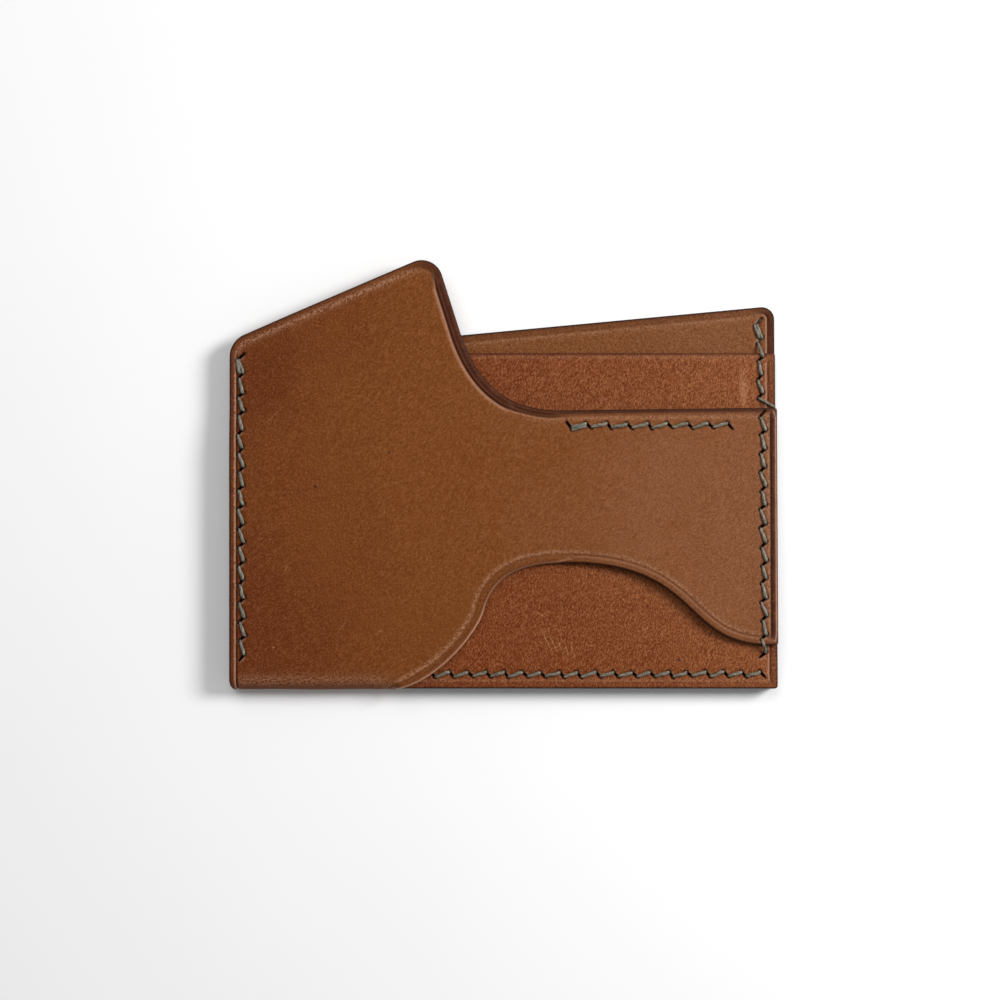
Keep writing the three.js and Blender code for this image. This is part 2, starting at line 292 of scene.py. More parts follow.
# How each edge is finished, in millimetres from the edge. round is the radius of the rubbed
# edge, crease and second are pressed lines as (inset, depth, half width), strip is how dark the
# leather is outside the crease, wear_and_highlight is a paler band, from wear on most edges and a
# painted highlight where the tab and the throat face the light, and painted_highlight is a
# painted highlight line on the lit wall of a crease and on lit edges, both as (inset, half
# width, strength), and rim is how dark the very edge is burnished.
PLAIN_FINISH = dict(
    round=0.34, crease=(1.3, 0.0, 0.2), second=(1.3, 0.0, 0.2), strip=0.0,
    wear_and_highlight=(1.5, 0.8, 0.0), painted_highlight=(1.1, 0.12, 0.0), rim=0.8,
)
FINISH_CHANGES = {
    "left": dict(crease=(1.3, 0.28, 0.14), strip=0.2, painted_highlight=(1.07, 0.1, 0.95), rim=0.95),
    "slant": dict(round=0.42, second=(0.6, 0.02, 0.15), strip=0.12, wear_and_highlight=(1.42, 0.5, 1.0), rim=1.0),
    "tab_peak": dict(round=0.45, crease=(1.5, 0.06, 0.3), second=(0.8, 0.04, 0.2), strip=0.75,
                     wear_and_highlight=(1.9, 0.4, 0.3), rim=1.0),
    # On the tab's side and the throat, wear_and_highlight at the very edge is a painted highlight
    # where the edge faces the key light.
    "tab_side": dict(round=0.4, crease=(1.68, 0.24, 0.15), second=(0.95, 0.2, 0.16), strip=0.95,
                     wear_and_highlight=(0.2, 0.14, 0.7), painted_highlight=(1.98, 0.1, 0.55), rim=0.6),
    "throat": dict(round=0.4, crease=(1.68, 0.24, 0.15), second=(0.92, 0.22, 0.16), strip=0.95,
                   wear_and_highlight=(0.2, 0.14, 0.8), painted_highlight=(1.98, 0.1, 0.5), rim=0.6),
    "throat_end": dict(round=0.4, crease=(1.3, 0.16, 0.15), second=(0.65, 0.2, 0.15), strip=0.7,
                       wear_and_highlight=(1.85, 0.25, 0.5), painted_highlight=(1.6, 0.1, 0.3), rim=0.8),
    "band_top": dict(round=0.36, crease=(0.95, 0.04, 0.14), second=(0.42, 0.17, 0.15), strip=0.5,
                     wear_and_highlight=(1.5, 0.35, 0.7), rim=0.95),
    "band_right": dict(round=0.4, crease=(1.2, 0.3, 0.14), strip=1.0, wear_and_highlight=(1.64, 0.24, 1.0),
                       painted_highlight=(0.3, 0.13, 0.75), rim=0.6),
    "cut_out_tip": dict(round=0.42, crease=(2.0, 0.06, 0.3), second=(0.6, 0.06, 0.12),
                        wear_and_highlight=(1.6, 0.4, 0.5), rim=0.9),
    "cut_out_right": dict(round=0.5, crease=(1.5, 0.1, 0.16), second=(0.62, 0.05, 0.14),
                          strip=0.12, wear_and_highlight=(1.9, 0.24, 0.7), painted_highlight=(1.16, 0.12, 0.2), rim=0.9),
    "cut_out": dict(round=0.45, crease=(1.5, 0.05, 0.25), second=(0.5, 0.1, 0.12), strip=0.12,
                    wear_and_highlight=(2.0, 0.32, 0.95), painted_highlight=(0.04, 0.16, 0.5), rim=0.45),
    "cut_out_foot": dict(round=0.4, crease=(1.3, 0.05, 0.2), second=(0.6, 0.08, 0.12), strip=0.12,
                         wear_and_highlight=(1.86, 0.34, 0.95), painted_highlight=(0.04, 0.2, 1.0), rim=0.1),
    "notch": dict(round=0.2, strip=0.3),
    "back_left": dict(crease=(1.33, 0.2, 0.18), strip=0.2, rim=0.9),
    "back_top": dict(round=0.36, crease=(1.3, 0.05, 0.16), second=(0.4, 0.05, 0.15), strip=0.3,
                     wear_and_highlight=(1.7, 0.3, 0.6), rim=1.0),
    "back_right": dict(crease=(1.2, 0.24, 0.16), strip=0.95, painted_highlight=(1.5, 0.12, 0.6), rim=0.95),
    "back_bottom": dict(crease=(1.2, 0.16, 0.18), strip=0.25, rim=0.95),
    "mouth": dict(round=0.3, second=(0.25, 0.06, 0.12), wear_and_highlight=(0.75, 0.3, 0.4), rim=0.7),
    "pocket_right": dict(round=0.2, crease=(1.38, 0.17, 0.14), strip=0.4, painted_highlight=(1.7, 0.13, 0.6),
                         rim=0.85),
    "pocket_bottom": dict(round=0.24, crease=(1.0, 0.05, 0.14), strip=0.15, wear_and_highlight=(1.45, 0.25, 0.5),
                          rim=1.0),
    "pocket_left": dict(round=0.12, strip=0.2),
    "hidden": dict(round=0.12, rim=0.2),
}


def finish_row(changes):
    """A finish as one row of numbers, in the order of the plain finish."""
    return np.hstack(list({**PLAIN_FINISH, **changes}.values()))


FINISH = {edge: finish_row(changes) for edge, changes in FINISH_CHANGES.items()}
# The columns of a finish row where each part of it starts.
ROUND, CREASE, SECOND, STRIP, WEAR_AND_HIGHLIGHT, PAINTED_HIGHLIGHT, RIM = 0, 1, 4, 7, 8, 11, 14
# How many outline points on each side a change of finish is spread over.
FINISH_BLEND = 8


def finish_round(edges):
    """The finish at each point of an outline, blended where one edge turns into the next."""
    table = np.array([FINISH[edge] for edge in edges])
    shifts = range(-FINISH_BLEND, FINISH_BLEND)
    return sum(np.roll(table, shift, axis=0) for shift in shifts) / len(shifts)


class Border:
    """An outline's points, with a quick way to find how far from the edge a place is."""

    def __init__(self, outline, step=0.28):
        self.points, self.edges = outline.sampled(step)
        self.finish = finish_round(self.edges)
        onward = np.roll(self.points, -1, axis=0) - np.roll(self.points, 1, axis=0)
        onward /= np.linalg.norm(onward, axis=1)[:, None]
        self.inward = np.column_stack([-onward[:, 1], onward[:, 0]])
        self.tree = kdtree.KDTree(len(self.points))
        for i, (x, y) in enumerate(self.points):
            self.tree.insert((x, y, 0), i)
        self.tree.balance()

    def nearest(self, places):
        """The distance to the edge, and the number of the nearest outline point."""
        found = np.array([self.tree.find((x, y, 0))[1] for x, y in places])
        best = np.full(len(places), np.inf)
        for other in (-1, 0):
            start = self.points[(found + other) % len(self.points)]
            end = self.points[(found + other + 1) % len(self.points)]
            run = end - start
            share = np.sum((places - start) * run, axis=1) / np.sum(run * run, axis=1)
            at = start + run * np.clip(share, 0, 1)[:, None]
            best = np.minimum(best, np.linalg.norm(places - at, axis=1))
        return best, found

    def holds(self, places):
        """Whether each place is inside the outline."""
        inside = np.zeros(len(places), bool)
        x, y = places.T
        for a, b in zip(self.points, np.roll(self.points, -1, axis=0)):
            crosses = (a[1] > y) != (b[1] > y)
            if crosses.any():
                at = (b[0] - a[0]) * (y[crosses] - a[1]) / (b[1] - a[1]) + a[0]
                inside[crosses] ^= x[crosses] < at
        return inside


# --- Seams ------------------------------------------------------------------------------------


class Seam:
    """A row of slanted slits. At each slit one thread ends and the next one starts."""

    def __init__(self, node, stitches, upright, slit_turn, lean=0.0, lock=True):
        low, high = drawing_box(node)
        middle = (low + high) / 2
        end_gap = 0.22
        if upright:
            start = np.array([middle[0] - lean / 2, high[1] - end_gap])
            end = np.array([middle[0] + lean / 2, low[1] + end_gap])
        else:
            start = np.array([low[0] + end_gap, middle[1]])
            end = np.array([high[0] - end_gap, middle[1]])
        self.node, self.lock, self.stitches = node, lock, stitches
        self.along = (end - start) / np.linalg.norm(end - start)
        source = np.random.default_rng(stitches + len(node))
        self.holes = start + (end - start) * np.linspace(0, 1, stitches + 1)[:, None]
        self.holes = self.holes + source.normal(0, SLIT_WANDER, self.holes.shape)
        self.turns = math.radians(slit_turn) + source.normal(0, SLIT_TURN_WANDER, stitches + 1)
        reach = np.column_stack([np.cos(self.turns), np.sin(self.turns)]) * THREAD_SPREAD
        # Where a thread comes up out of each slit, and where one goes down into it.
        self.starts, self.ends = self.holes - reach, self.holes + reach
        # From the first stitch to the doubled thread beside it.
        self.lock_shift = LOCK_SPACING * np.array([self.along[1], -self.along[0]])


# A slit's turn points to the end where the threads go down.
LEFT_SEAM = Seam("left_seam_thread", 16, True, 45, lean=0.25)
RIGHT_SEAM = Seam("right_seam_thread", 18, True, 45, lean=0.6)
BOTTOM_SEAM = Seam("bottom_seam_thread", 18, False, 135, lock=False)
BAND_SEAM = Seam("band_seam_thread", 8, False, 135)
OUTER_SEAMS = [LEFT_SEAM, RIGHT_SEAM, BOTTOM_SEAM]
ALL_SEAMS = [*OUTER_SEAMS, BAND_SEAM]


class Slit:
    """One slanted slit in a panel's own plane."""

    def __init__(self, at, turn):
        self.at = np.array(at)
        self.slant = np.array([math.cos(turn), math.sin(turn)])

    def ring(self, offset, count):
        """Points round the slit, at that distance from its rim."""
        angle = np.linspace(0, math.tau, count, endpoint=False)
        long = (SLIT_HALF_LENGTH + offset) * np.cos(angle)
        wide = (SLIT_HALF_WIDTH + offset) * np.sin(angle)
        c, s = self.slant
        return self.at + np.column_stack([long * c - wide * s, long * s + wide * c])

    def offsets(self, places):
        """How far each place is from the slit's middle, along the slit and across it."""
        offset = places - self.at
        return offset @ self.slant, offset @ np.array([-self.slant[1], self.slant[0]])


def plan_slits(seam, low=-math.inf, high=math.inf):
    """The slits of a seam, and its threads as pairs of ends, between two heights of the plan."""
    slits = [Slit(at, turn) for at, turn in zip(seam.holes, seam.turns) if low < at[1] < high]
    threads = [
        (start, end)
        for start, end in zip(seam.starts[:-1], seam.ends[1:])
        if low < (start[1] + end[1]) / 2 < high
    ]
    if seam.lock and threads and seam.holes[0][1] < high:
        threads.append((threads[0][0] + seam.lock_shift, threads[0][1] + seam.lock_shift))
    return slits, threads


def back_slits(seam):
    """The slits and threads of a seam on the back, in the wrap's blank."""
    slits = [Slit(back_in_blank(*at), -turn) for at, turn in zip(seam.holes, seam.turns)]
    ends = zip(seam.ends[:-1], seam.starts[1:])
    return slits, [(back_in_blank(*a), back_in_blank(*b)) for a, b in ends]


# --- Heights of the leather -------------------------------------------------------------------


def held(x, y):
    """1 where the layers are sewn together, 0 where a card slides in."""
    from_edge = np.minimum(np.minimum(x, HOLDER_RIGHT - x), y)
    return smooth(from_edge, CARD_ROOM, SEWN_WIDTH)


def short_stack(x, y):
    """1 in the top left part of the seam, where the lower pocket is missing from the stack."""
    return smooth(x, 13, 2) * smooth(y, 43, 54)


def cut_out_profile():
    """The cut-out's edge from the fold to the band's tip, in order of x."""
    points = np.array([CUT_OUT_FOOT, *(point for point, _ in cut_out_points())])
    return points[np.argsort(points[:, 0])]


CUT_OUT_PROFILE = cut_out_profile()


def cut_out_edge(x):
    """How far up the plan the cut-out's edge is."""
    return np.interp(x, CUT_OUT_PROFILE[:, 0], CUT_OUT_PROFILE[:, 1])


def front_lift(x, y):
    """How far the front stands above its nominal height: it arches over the pockets, sinks where
    the stack under it is short, and curls up along the right part of the cut-out."""
    arch = FRONT_ARCH * smooth(y, FOLD_RADIUS, 22) * smooth(x, 4, 30) * smooth(HOLDER_RIGHT - x, 4, 30)
    curl = BAND_CURL * smooth(y - cut_out_edge(x), 13, 0) * smooth(x, 60, 74) * smooth(x, 96, 86)
    return arch - FRONT_SINK * short_stack(x, y) + curl


def sharp_lines(distance, finish):
    """The height of the rubbed edge and its creases above the flat leather."""
    radius = finish[:, ROUND]
    inside = np.clip(radius - distance, 0, None)
    height = -(radius - np.sqrt(np.maximum(radius ** 2 - inside ** 2, 0)))
    for line in (CREASE, SECOND):
        inset, depth, width = finish[:, line:line + 3].T
        height -= depth * hump(distance, inset, width)
        height += 0.25 * depth * hump(distance, inset - 2.1 * width, width)
    return height


def thread_closeness(places, threads, reach):
    """How close each place is to a thread, from 0 to 1."""
    close = np.zeros(len(places))
    for start, end in threads:
        run = end - start
        share = np.clip((places - start) @ run / (run @ run), 0, 1)
        distance = np.linalg.norm(places - start - share[:, None] * run, axis=1)
        close = np.maximum(close, np.exp(-((distance / reach) ** 2)))
    return close


def slit_closeness(places, slits, reach):
    """How close each place is to a slit's rim, from 0 to 1."""
    close = np.zeros(len(places))
    for slit in slits:
        long, wide = slit.offsets(places)
        beyond = np.maximum(np.abs(long) - SLIT_HALF_LENGTH, 0)
        distance = np.hypot(beyond, np.maximum(np.abs(wide) - SLIT_HALF_WIDTH * 0.6, 0))
        close = np.maximum(close, np.exp(-((distance / reach) ** 2)))
    return close


def slit_lips(places, slits, across=0.42, width=0.24):
    """The leather pushed up in a lip along the side of each slit that the thread pulls away from."""
    lip = np.zeros(len(places))
    for slit in slits:
        long, wide = slit.offsets(places)
        lip = np.maximum(lip, hump(-wide, across, width) * hump(long, -0.3, 0.7))
    return lip


# --- Meshes -----------------------------------------------------------------------------------


class Spread:
    """Collects points that keep a distance to each other."""

    def __init__(self):
        self.cells = {}
        self.points = []
        self.cell = 0.25

    def add(self, points, apart):
        """Takes in the points that are at least that far from every other."""
        reach = math.ceil(apart / self.cell)
        for x, y in points:
            i, j = int(x // self.cell), int(y // self.cell)
            if self.is_free(x, y, i, j, reach, apart):
                self.cells.setdefault((i, j), []).append((x, y))
                self.points.append((x, y))

    def is_free(self, x, y, i, j, reach, apart):
        """Whether the place, which is in cell i, j, is clear of the points so far."""
        for a in range(i - reach, i + reach + 1):
            for b in range(j - reach, j + reach + 1):
                for px, py in self.cells.get((a, b), ()):
                    if (px - x) ** 2 + (py - y) ** 2 < apart * apart:
                        return False
        return True


# How far apart the rows of a grid of even-sided triangles are, for each unit along a row.
GRID_ROW = 0.866


def grid_inside(border, spacing, clearance):
    """A grid of places inside an outline, every second row shifted by half a step, and clear of the
    edge.
    """
    low, high = border.points.min(0), border.points.max(0)
    rows = np.arange(low[1], high[1], spacing * GRID_ROW)
    x, y = np.meshgrid(np.arange(low[0], high[0], spacing), rows)
    x = x + (np.arange(x.shape[0]) % 2)[:, None] * spacing / 2
    places = np.column_stack([x.ravel(), y.ravel()])
    places = places[border.holds(places)]
    distance, _ = border.nearest(places)
    return places[distance > clearance]


# Rings of places inside an outline: the distance from it, and which of its points are used.
RING_STEPS = [
    (0.07, 1), (0.16, 1), (0.3, 1), (0.48, 1), (0.72, 2), (0.95, 2), (1.12, 1), (1.24, 1), (1.36, 1),
    (1.5, 1), (1.64, 1), (1.78, 1), (1.95, 2), (2.2, 2), (2.6, 3),
]
# Rings of places round a slit: the distance from its rim, and how many.
SLIT_RINGS = ((0.1, 16), (0.22, 16), (0.38, 16), (0.6, 18), (0.9, 20))


def add_ring(spread, border, inset, every, apart):
    """Adds the places at a distance inside the outline."""
    ring = (border.points + border.inward * inset)[::every]
    distance, _ = border.nearest(ring)
    spread.add(ring[np.abs(distance - inset) < 0.03], apart)


def grain_places(border, slits, spacing):
    """Places for the grain side: close together near edges, creases and slits, wider elsewhere."""
    spread = Spread()
    for slit in slits:
        for offset, count in SLIT_RINGS:
            spread.add(slit.ring(offset, count), 0.09)
    for inset, every in RING_STEPS:
        add_ring(spread, border, inset, every, 0.085 if inset < 2 else 0.3)
    spread.add(grid_inside(border, spacing, 2.3), spacing * 0.6)
    return clear_of(np.array(spread.points), border, slits, 0.035)


def flesh_places(border, slits, open_part):
    """Places for the flesh side. A wider mesh is enough wherever it stays hidden."""
    spread = Spread()
    if open_part:
        shown = grain_places(border, [slit for slit in slits if open_part(slit.at[None])[0]], 1.1)
        spread.add(shown[open_part(shown)], 0.05)
    for slit in slits:
        spread.add(slit.ring(0.5, 8), 0.3)
    for inset in (0.12, 0.5):
        add_ring(spread, border, inset, 2, 0.2)
    spread.add(grid_inside(border, 2.2, 1.2), 0.9)
    return clear_of(np.array(spread.points), border, slits, 0.04)


def clear_of(places, border, slits, gap):
    """The places inside the outline, outside every slit and not too close to either."""
    distance, _ = border.nearest(places)
    keep = (distance > gap) & border.holds(places)
    for slit in slits:
        long, wide = slit.offsets(places)
        keep &= (long / (SLIT_HALF_LENGTH + gap)) ** 2 + (wide / (SLIT_HALF_WIDTH + gap)) ** 2 > 1
    return places[keep]


def triangles(border, slits, places):
    """A triangulation of the panel. The outline comes first, then the slits, then the places."""
    outline_count = len(border.points)
    loops = [slit.ring(0, SLIT_POINTS) for slit in slits]
    points = np.vstack([border.points, *loops, places])
    links = [(i, (i + 1) % outline_count) for i in range(outline_count)]
    for k in range(len(loops)):
        first = outline_count + k * SLIT_POINTS
        links += [(first + i, first + (i + 1) % SLIT_POINTS) for i in range(SLIT_POINTS)]
    coords = [Vector((x, y)) for x, y in points]
    made = delaunay_2d_cdt(coords, links, [], 1, 1e-7)
    if len(made[0]) != len(points):
        raise ValueError("the triangulation changed the panel's points")
    source = np.array([ids[0] for ids in made[3]])
    faces = source[np.array(made[2])]
    loop_of = np.full(len(points), -1)
    for k in range(len(loops)):
        first = outline_count + k * SLIT_POINTS
        loop_of[first:first + SLIT_POINTS] = k
    which = loop_of[faces]
    in_slit = (which[:, 0] >= 0) & (which[:, 0] == which[:, 1]) & (which[:, 1] == which[:, 2])
    return points, faces[~in_slit]


def all_flesh(places):
    """The marks of a side that is bare flesh all over."""
    return {"flesh": np.ones(len(places))}


# The wall between the two sides of a panel bulges a little, as a rubbed edge does: the share of the
# thickness from the grain side down, and how far the wall stands out there.
WALL_BULGES = ((0.22, 0.045), (0.5, 0.06), (0.78, 0.045))
# How darkly the wall is burnished at the least.
WALL_BURNISH = 0.35


class Panel:
    """A leather panel: its outline, its slits, and where its two sides lie in space."""

    def __init__(self, name, outline, slits, spacing):
        self.name = name
        self.border = Border(outline)
        self.slits = [s for s in slits if self.border.holds(s.at[None])[0]]
        self.spacing = spacing

    def build(self, grain, flesh, grain_marks, flesh_marks=all_flesh, open_part=None):
        """grain and flesh place the two sides, and the marks are the numbers that colour them.
        open_part says which places of the flesh side can be seen."""
        border, slits = self.border, self.slits
        outline_count = len(border.points)
        loops_end = outline_count + len(slits) * SLIT_POINTS
        top, top_faces = triangles(border, slits, grain_places(border, slits, self.spacing))
        low, low_faces = triangles(border, slits, flesh_places(border, slits, open_part))
        top_space, low_space = grain(top), flesh(low)
        top_edge, low_edge = top_space[:outline_count], low_space[:outline_count]
        outward = self.outward(top_edge, low_edge)
        walls = [
            top_edge * (1 - share) + low_edge * share + outward * bulge for share, bulge in WALL_BULGES
        ]

        # The rows of the wall go from the grain side's outline down to the flesh side's.
        wall_start = len(top) + len(low)
        wall_rows = [wall_start + k * outline_count for k in range(len(walls))]
        rows = [first + np.arange(outline_count) for first in (0, *wall_rows, len(top))]
        faces = [*top_faces, *(len(top) + low_faces[:, ::-1])]
        for upper, lower in zip(rows, rows[1:]):
            faces += list(zip(upper, lower, np.roll(lower, -1), np.roll(upper, -1)))
        for first in range(outline_count, loops_end, SLIT_POINTS):
            ring = first + np.arange(SLIT_POINTS)
            onward = np.roll(ring, -1)
            faces += list(zip(ring, onward, len(top) + onward, len(top) + ring))

        top_marks, low_marks = grain_marks(top), flesh_marks(low)
        marks = {}
        for key, value in top_marks.items():
            low_value = low_marks.get(key, np.zeros(len(low)))
            at_edge = value[:outline_count]
            if key == "rim":
                at_edge = np.maximum(at_edge, WALL_BURNISH)
                low_value[:outline_count] = at_edge
            # The slits' walls are painted dark all through, as shade; the outline's wall takes no
            # crease mark.
            if key == "crease":
                at_edge = np.zeros(outline_count)
                low_value[outline_count:loops_end] = 1
            marks[key] = np.concatenate([value, low_value, np.tile(at_edge, len(walls))])
        return new_piece(self.name, np.vstack([top_space, low_space, *walls]), faces, marks)

    def outward(self, top_edge, low_edge):
        """The direction out of the wall at each outline point, in space."""
        middle = (top_edge + low_edge) / 2
        onward = np.roll(middle, -1, axis=0) - np.roll(middle, 1, axis=0)
        out = np.cross(onward, top_edge - low_edge)
        return out / np.maximum(np.linalg.norm(out, axis=1), 1e-9)[:, None]


def in_metres(points):
    """Points of the drawing, moved to where they are in the scene."""
    return points * MM + np.array(ORIGIN)


def new_object(name, data):
    """An object in the scene."""
    made = bpy.data.objects.new(name, data)
    bpy.context.scene.collection.objects.link(made)
    return made


def new_piece(name, points, faces, marks):
    """A smooth piece from the drawing's points. Each mark gives every point a number."""
    mesh = bpy.data.meshes.new(name)
    whole_faces = [tuple(map(int, face)) for face in faces]
    mesh.from_pydata([tuple(point) for point in in_metres(points)], [], whole_faces)
    mesh.polygons.foreach_set("use_smooth", np.ones(len(mesh.polygons), bool))
    for key, values in marks.items():
        attribute = mesh.attributes.new(key, "FLOAT", "POINT")
        attribute.data.foreach_set("value", values.astype(np.float32))
    return new_object(name, mesh)


def side_marks(border, places, threads, slits):
    """The numbers that colour a side: burnished rims, creases darkened by the creasing and by
    painted shade, strips, pale bands of wear and of painted highlight, painted shade along the
    threads and in the slits, and painted highlight lines.
    """
    distance, nearest = border.nearest(places)
    finish = border.finish[nearest]
    # Pressed creases are darkened by the creasing itself and by painted shade in their grooves.
    crease = np.zeros(len(places))
    for line in (CREASE, SECOND):
        inset, depth, width = finish[:, line:line + 3].T
        crease = np.maximum(crease, depth * 4.5 * hump(distance, inset + 0.03, width * 0.95))
    # Painted shade in and round the slits: their rims are marked as dark as a crease.
    slit_shade = slit_closeness(places, slits, 0.15)
    outline_count = len(border.points)
    slit_shade[outline_count:outline_count + len(slits) * SLIT_POINTS] = 1
    # Painted highlight on the lip of each slit, on the side that faces the light.
    lips = 0.7 * slit_lips(places, slits, 0.34, 0.13)
    painted_highlight = finish[:, PAINTED_HIGHLIGHT + 2] * hump(distance, finish[:, PAINTED_HIGHLIGHT], finish[:, PAINTED_HIGHLIGHT + 1])
    edge_of_strip = finish[:, CREASE]
    return {
        "rim": finish[:, RIM] * smooth(distance, 0.42, 0.1),
        "crease": np.clip(np.maximum(crease, slit_shade), 0, 1),
        "strip": finish[:, STRIP] * smooth(distance, edge_of_strip + 0.1, edge_of_strip - 0.25),
        "wear_and_highlight": finish[:, WEAR_AND_HIGHLIGHT + 2] * hump(distance, finish[:, WEAR_AND_HIGHLIGHT], finish[:, WEAR_AND_HIGHLIGHT + 1]),
        "painted_highlight": np.maximum(painted_highlight, lips),
        # Painted shade along the threads, in the hollows where they lie.
        "channel": thread_closeness(places, threads, 0.4),
        "flesh": np.zeros(len(places)),
    }


# --- The outer wrap ---------------------------------------------------------------------------


def wrap_sheet(places):
    """Where the blank's plain grain side lies when the wrap is folded, and which way it faces."""
    x, v = places.T
    turn = np.clip((FOLD_RADIUS - v) / FOLD_RADIUS, 0, math.pi)
    on_back = v < FOLD_RADIUS - math.pi * FOLD_RADIUS
    y = np.where(v >= FOLD_RADIUS, v, FOLD_RADIUS - FOLD_RADIUS * np.sin(turn))
    flat_y = -v - FOLD_RADIUS * (math.pi - 2)
    y = np.where(on_back, flat_y, y)
    z = FOLD_RADIUS + FOLD_RADIUS * np.cos(turn)
    facing = np.column_stack([np.zeros(len(x)), -np.sin(turn), np.cos(turn)])

    # Past the end of the fold the front's tail and the back lie flat.
    flat = smooth(x, FOLD_END - 0.4, POCKET_FOOT)
    below = flat * (turn > math.pi / 2)
    above = flat - below
    y = y * (1 - below) + np.maximum(flat_y, 0.1) * below
    z = z * (1 - flat) + FRONT_TOP * above
    facing = facing * (1 - flat)[:, None] + np.outer(above, [0, 0, 1]) + np.outer(below, [0, 0, -1])
    facing /= np.linalg.norm(facing, axis=1)[:, None]

    # The fold's left end is pinched in, and the front lifts off its nominal height.
    x = x + FOLD_PINCH * np.sin(turn) ** 6 * np.exp(-x / 0.8)
    z = z + front_lift(x, y) * smooth(v, FOLD_RADIUS - 0.5, FOLD_RADIUS + 4)
    return np.column_stack([x, y, z]), facing


def wrap_height(panel, places, base, facing):
    """The height of the wrap's grain side over the plain sheet."""
    distance, nearest = panel.border.nearest(places)
    x, y = base[:, 0], base[:, 1]
    on_front = facing[:, 2] > 0
    height = sharp_lines(distance, panel.border.finish[nearest])
    inner = smooth(distance, 0, 3)
    height += inner * (0.035 * ripple(x, y, 4, 11) - 0.05 * ~on_front)
    front_channel = thread_closeness(places, FRONT_THREADS, 0.4)
    back_channel = thread_closeness(places, BACK_THREADS, 0.62)
    height -= FRONT_CHANNEL * front_channel + BACK_CHANNEL * back_channel
    height -= FRONT_SLIT_DIP * slit_closeness(places, panel.slits, SLIT_DIP_REACH)
    height += np.where(on_front, FRONT_LIP, 0.0) * slit_lips(places, FRONT_SLITS + BACK_SLITS)
    height += on_front * 0.05 * thread_closeness(places, FRONT_THREADS, 1.1)
    height += seam_gathers(x, y) * on_front * GATHER
    # Nothing on the back stands out past the flat on which the holder rests.
    return np.where(on_front, height, np.minimum(height, -0.01))


def seam_gathers(x, y):
    """Slanting gathers in the front beside the right seam, where the thread pulls the leather."""
    reach = smooth(HOLDER_RIGHT - x, 13, 3.2) * smooth(y, BAND_BOTTOM_RIGHT[1], 14) * smooth(y, 50, 46)
    across = x * 0.72 - y * 0.69
    return reach * np.sin(across * 3.4 + 1.3 * np.sin(y * 0.9)) * (0.6 + 0.4 * ripple(x, y, 12, 5))


def outer_leather_thickness(x, y, on_front):
    """The wrap's leather is squeezed thinner in the seams, wherever other layers lie on it."""
    covered = np.where(on_front, 1.0, smooth(y, MIDDLE_POCKET_TOP + 0.6, MIDDLE_POCKET_TOP - 0.6))
    return OUTER_LEATHER + (BACK_JOINT - OUTER_LEATHER) * held(x, y) * covered


def back_inside_shows(places):
    """The flesh side of the back, where it stands out above the pockets."""
    return places[:, 1] < back_in_blank(0, MIDDLE_POCKET_TOP - 2.5)[1]


def make_outer_wrap():
    """The front and the back in one piece, bent round the fold."""
    panel = Panel("outer_wrap_leather", wrap_outline(), FRONT_SLITS + BACK_SLITS, 0.95)
    top_threads = [
        (back_in_blank(*a), back_in_blank(*b)) for a, b in plan_slits(RIGHT_SEAM, MIDDLE_POCKET_TOP)[1]
    ]

    def grain(places):
        base, facing = wrap_sheet(places)
        return base + facing * wrap_height(panel, places, base, facing)[:, None]

    def flesh(places):
        base, facing = wrap_sheet(places)
        thickness = outer_leather_thickness(base[:, 0], base[:, 1], facing[:, 2] > 0)
        distance, nearest = panel.border.nearest(places)
        height = -0.12 * smooth(distance, 0.15, 0)
        shown = sharp_lines(distance, panel.border.finish[nearest]) * 0.7
        shown -= POCKET_CHANNEL * thread_closeness(places, top_threads, 0.4)
        shown -= POCKET_SLIT_DIP * slit_closeness(places, panel.slits, SLIT_DIP_REACH)
        shown += 0.03 * smooth(distance, 0, 2) * ripple(base[:, 0], base[:, 1], 21, 6)
        height = np.where(back_inside_shows(places), shown, height)
        return base - facing * (thickness + height)[:, None]

    def grain_marks(places):
        x, v = places.T
        marks = side_marks(panel.border, places, FRONT_THREADS + BACK_THREADS, panel.slits)
        # A painted highlight along the rounded fold, where it turns down away from the lights.
        fold_highlight = hump(v, FOLD_RADIUS - 1.0, 1.1) * smooth(x, FOLD_END + 2, FOLD_END - 3)
        marks["wear_and_highlight"] = np.maximum(marks["wear_and_highlight"], 0.75 * fold_highlight * smooth(x, 1.2, 2.2))
        return marks

    def flesh_marks(places):
        marks = side_marks(panel.border, places, top_threads, panel.slits)
        shown = back_inside_shows(places)
        marks = {key: value * shown for key, value in marks.items()}
        marks["flesh"] = np.where(shown, 0.45, 1.0)
        return marks

    return panel.build(grain, flesh, grain_marks, flesh_marks, back_inside_shows)


# --- The pockets ------------------------------------------------------------------------------


# Wrinkles of the lower pocket: place, direction in degrees, half length, half width, depth.
WRINKLES = [
    (57.4 + 1.1 * k, 9.3 - 0.5 * k, 118 - 4 * k, 3.6 - 0.3 * k, 0.24, 0.12 - 0.014 * k)
    for k in range(5)
]
WRINKLES += [
    (56.2, 14.2, 150, 1.8, 0.24, 0.08), (75.5, 11.4, 62, 2.2, 0.3, 0.05),
    (79.2, 9.8, 55, 1.8, 0.3, 0.04),
]


def pocket_wrinkles(x, y):
    """Fine creases where the lower pocket's leather has been bent, in the cut-out."""
    total = np.zeros_like(x)
    for at_x, at_y, angle, length, spread, depth in WRINKLES:
        c, s = math.cos(math.radians(angle)), math.sin(math.radians(angle))
        along = (x - at_x) * c + (y - at_y) * s
        across = -(x - at_x) * s + (y - at_y) * c + 0.25 * np.sin(along * 1.1 + at_x)
        total -= depth * hump(across, 0, spread) * hump(along, 0, length)
    return total


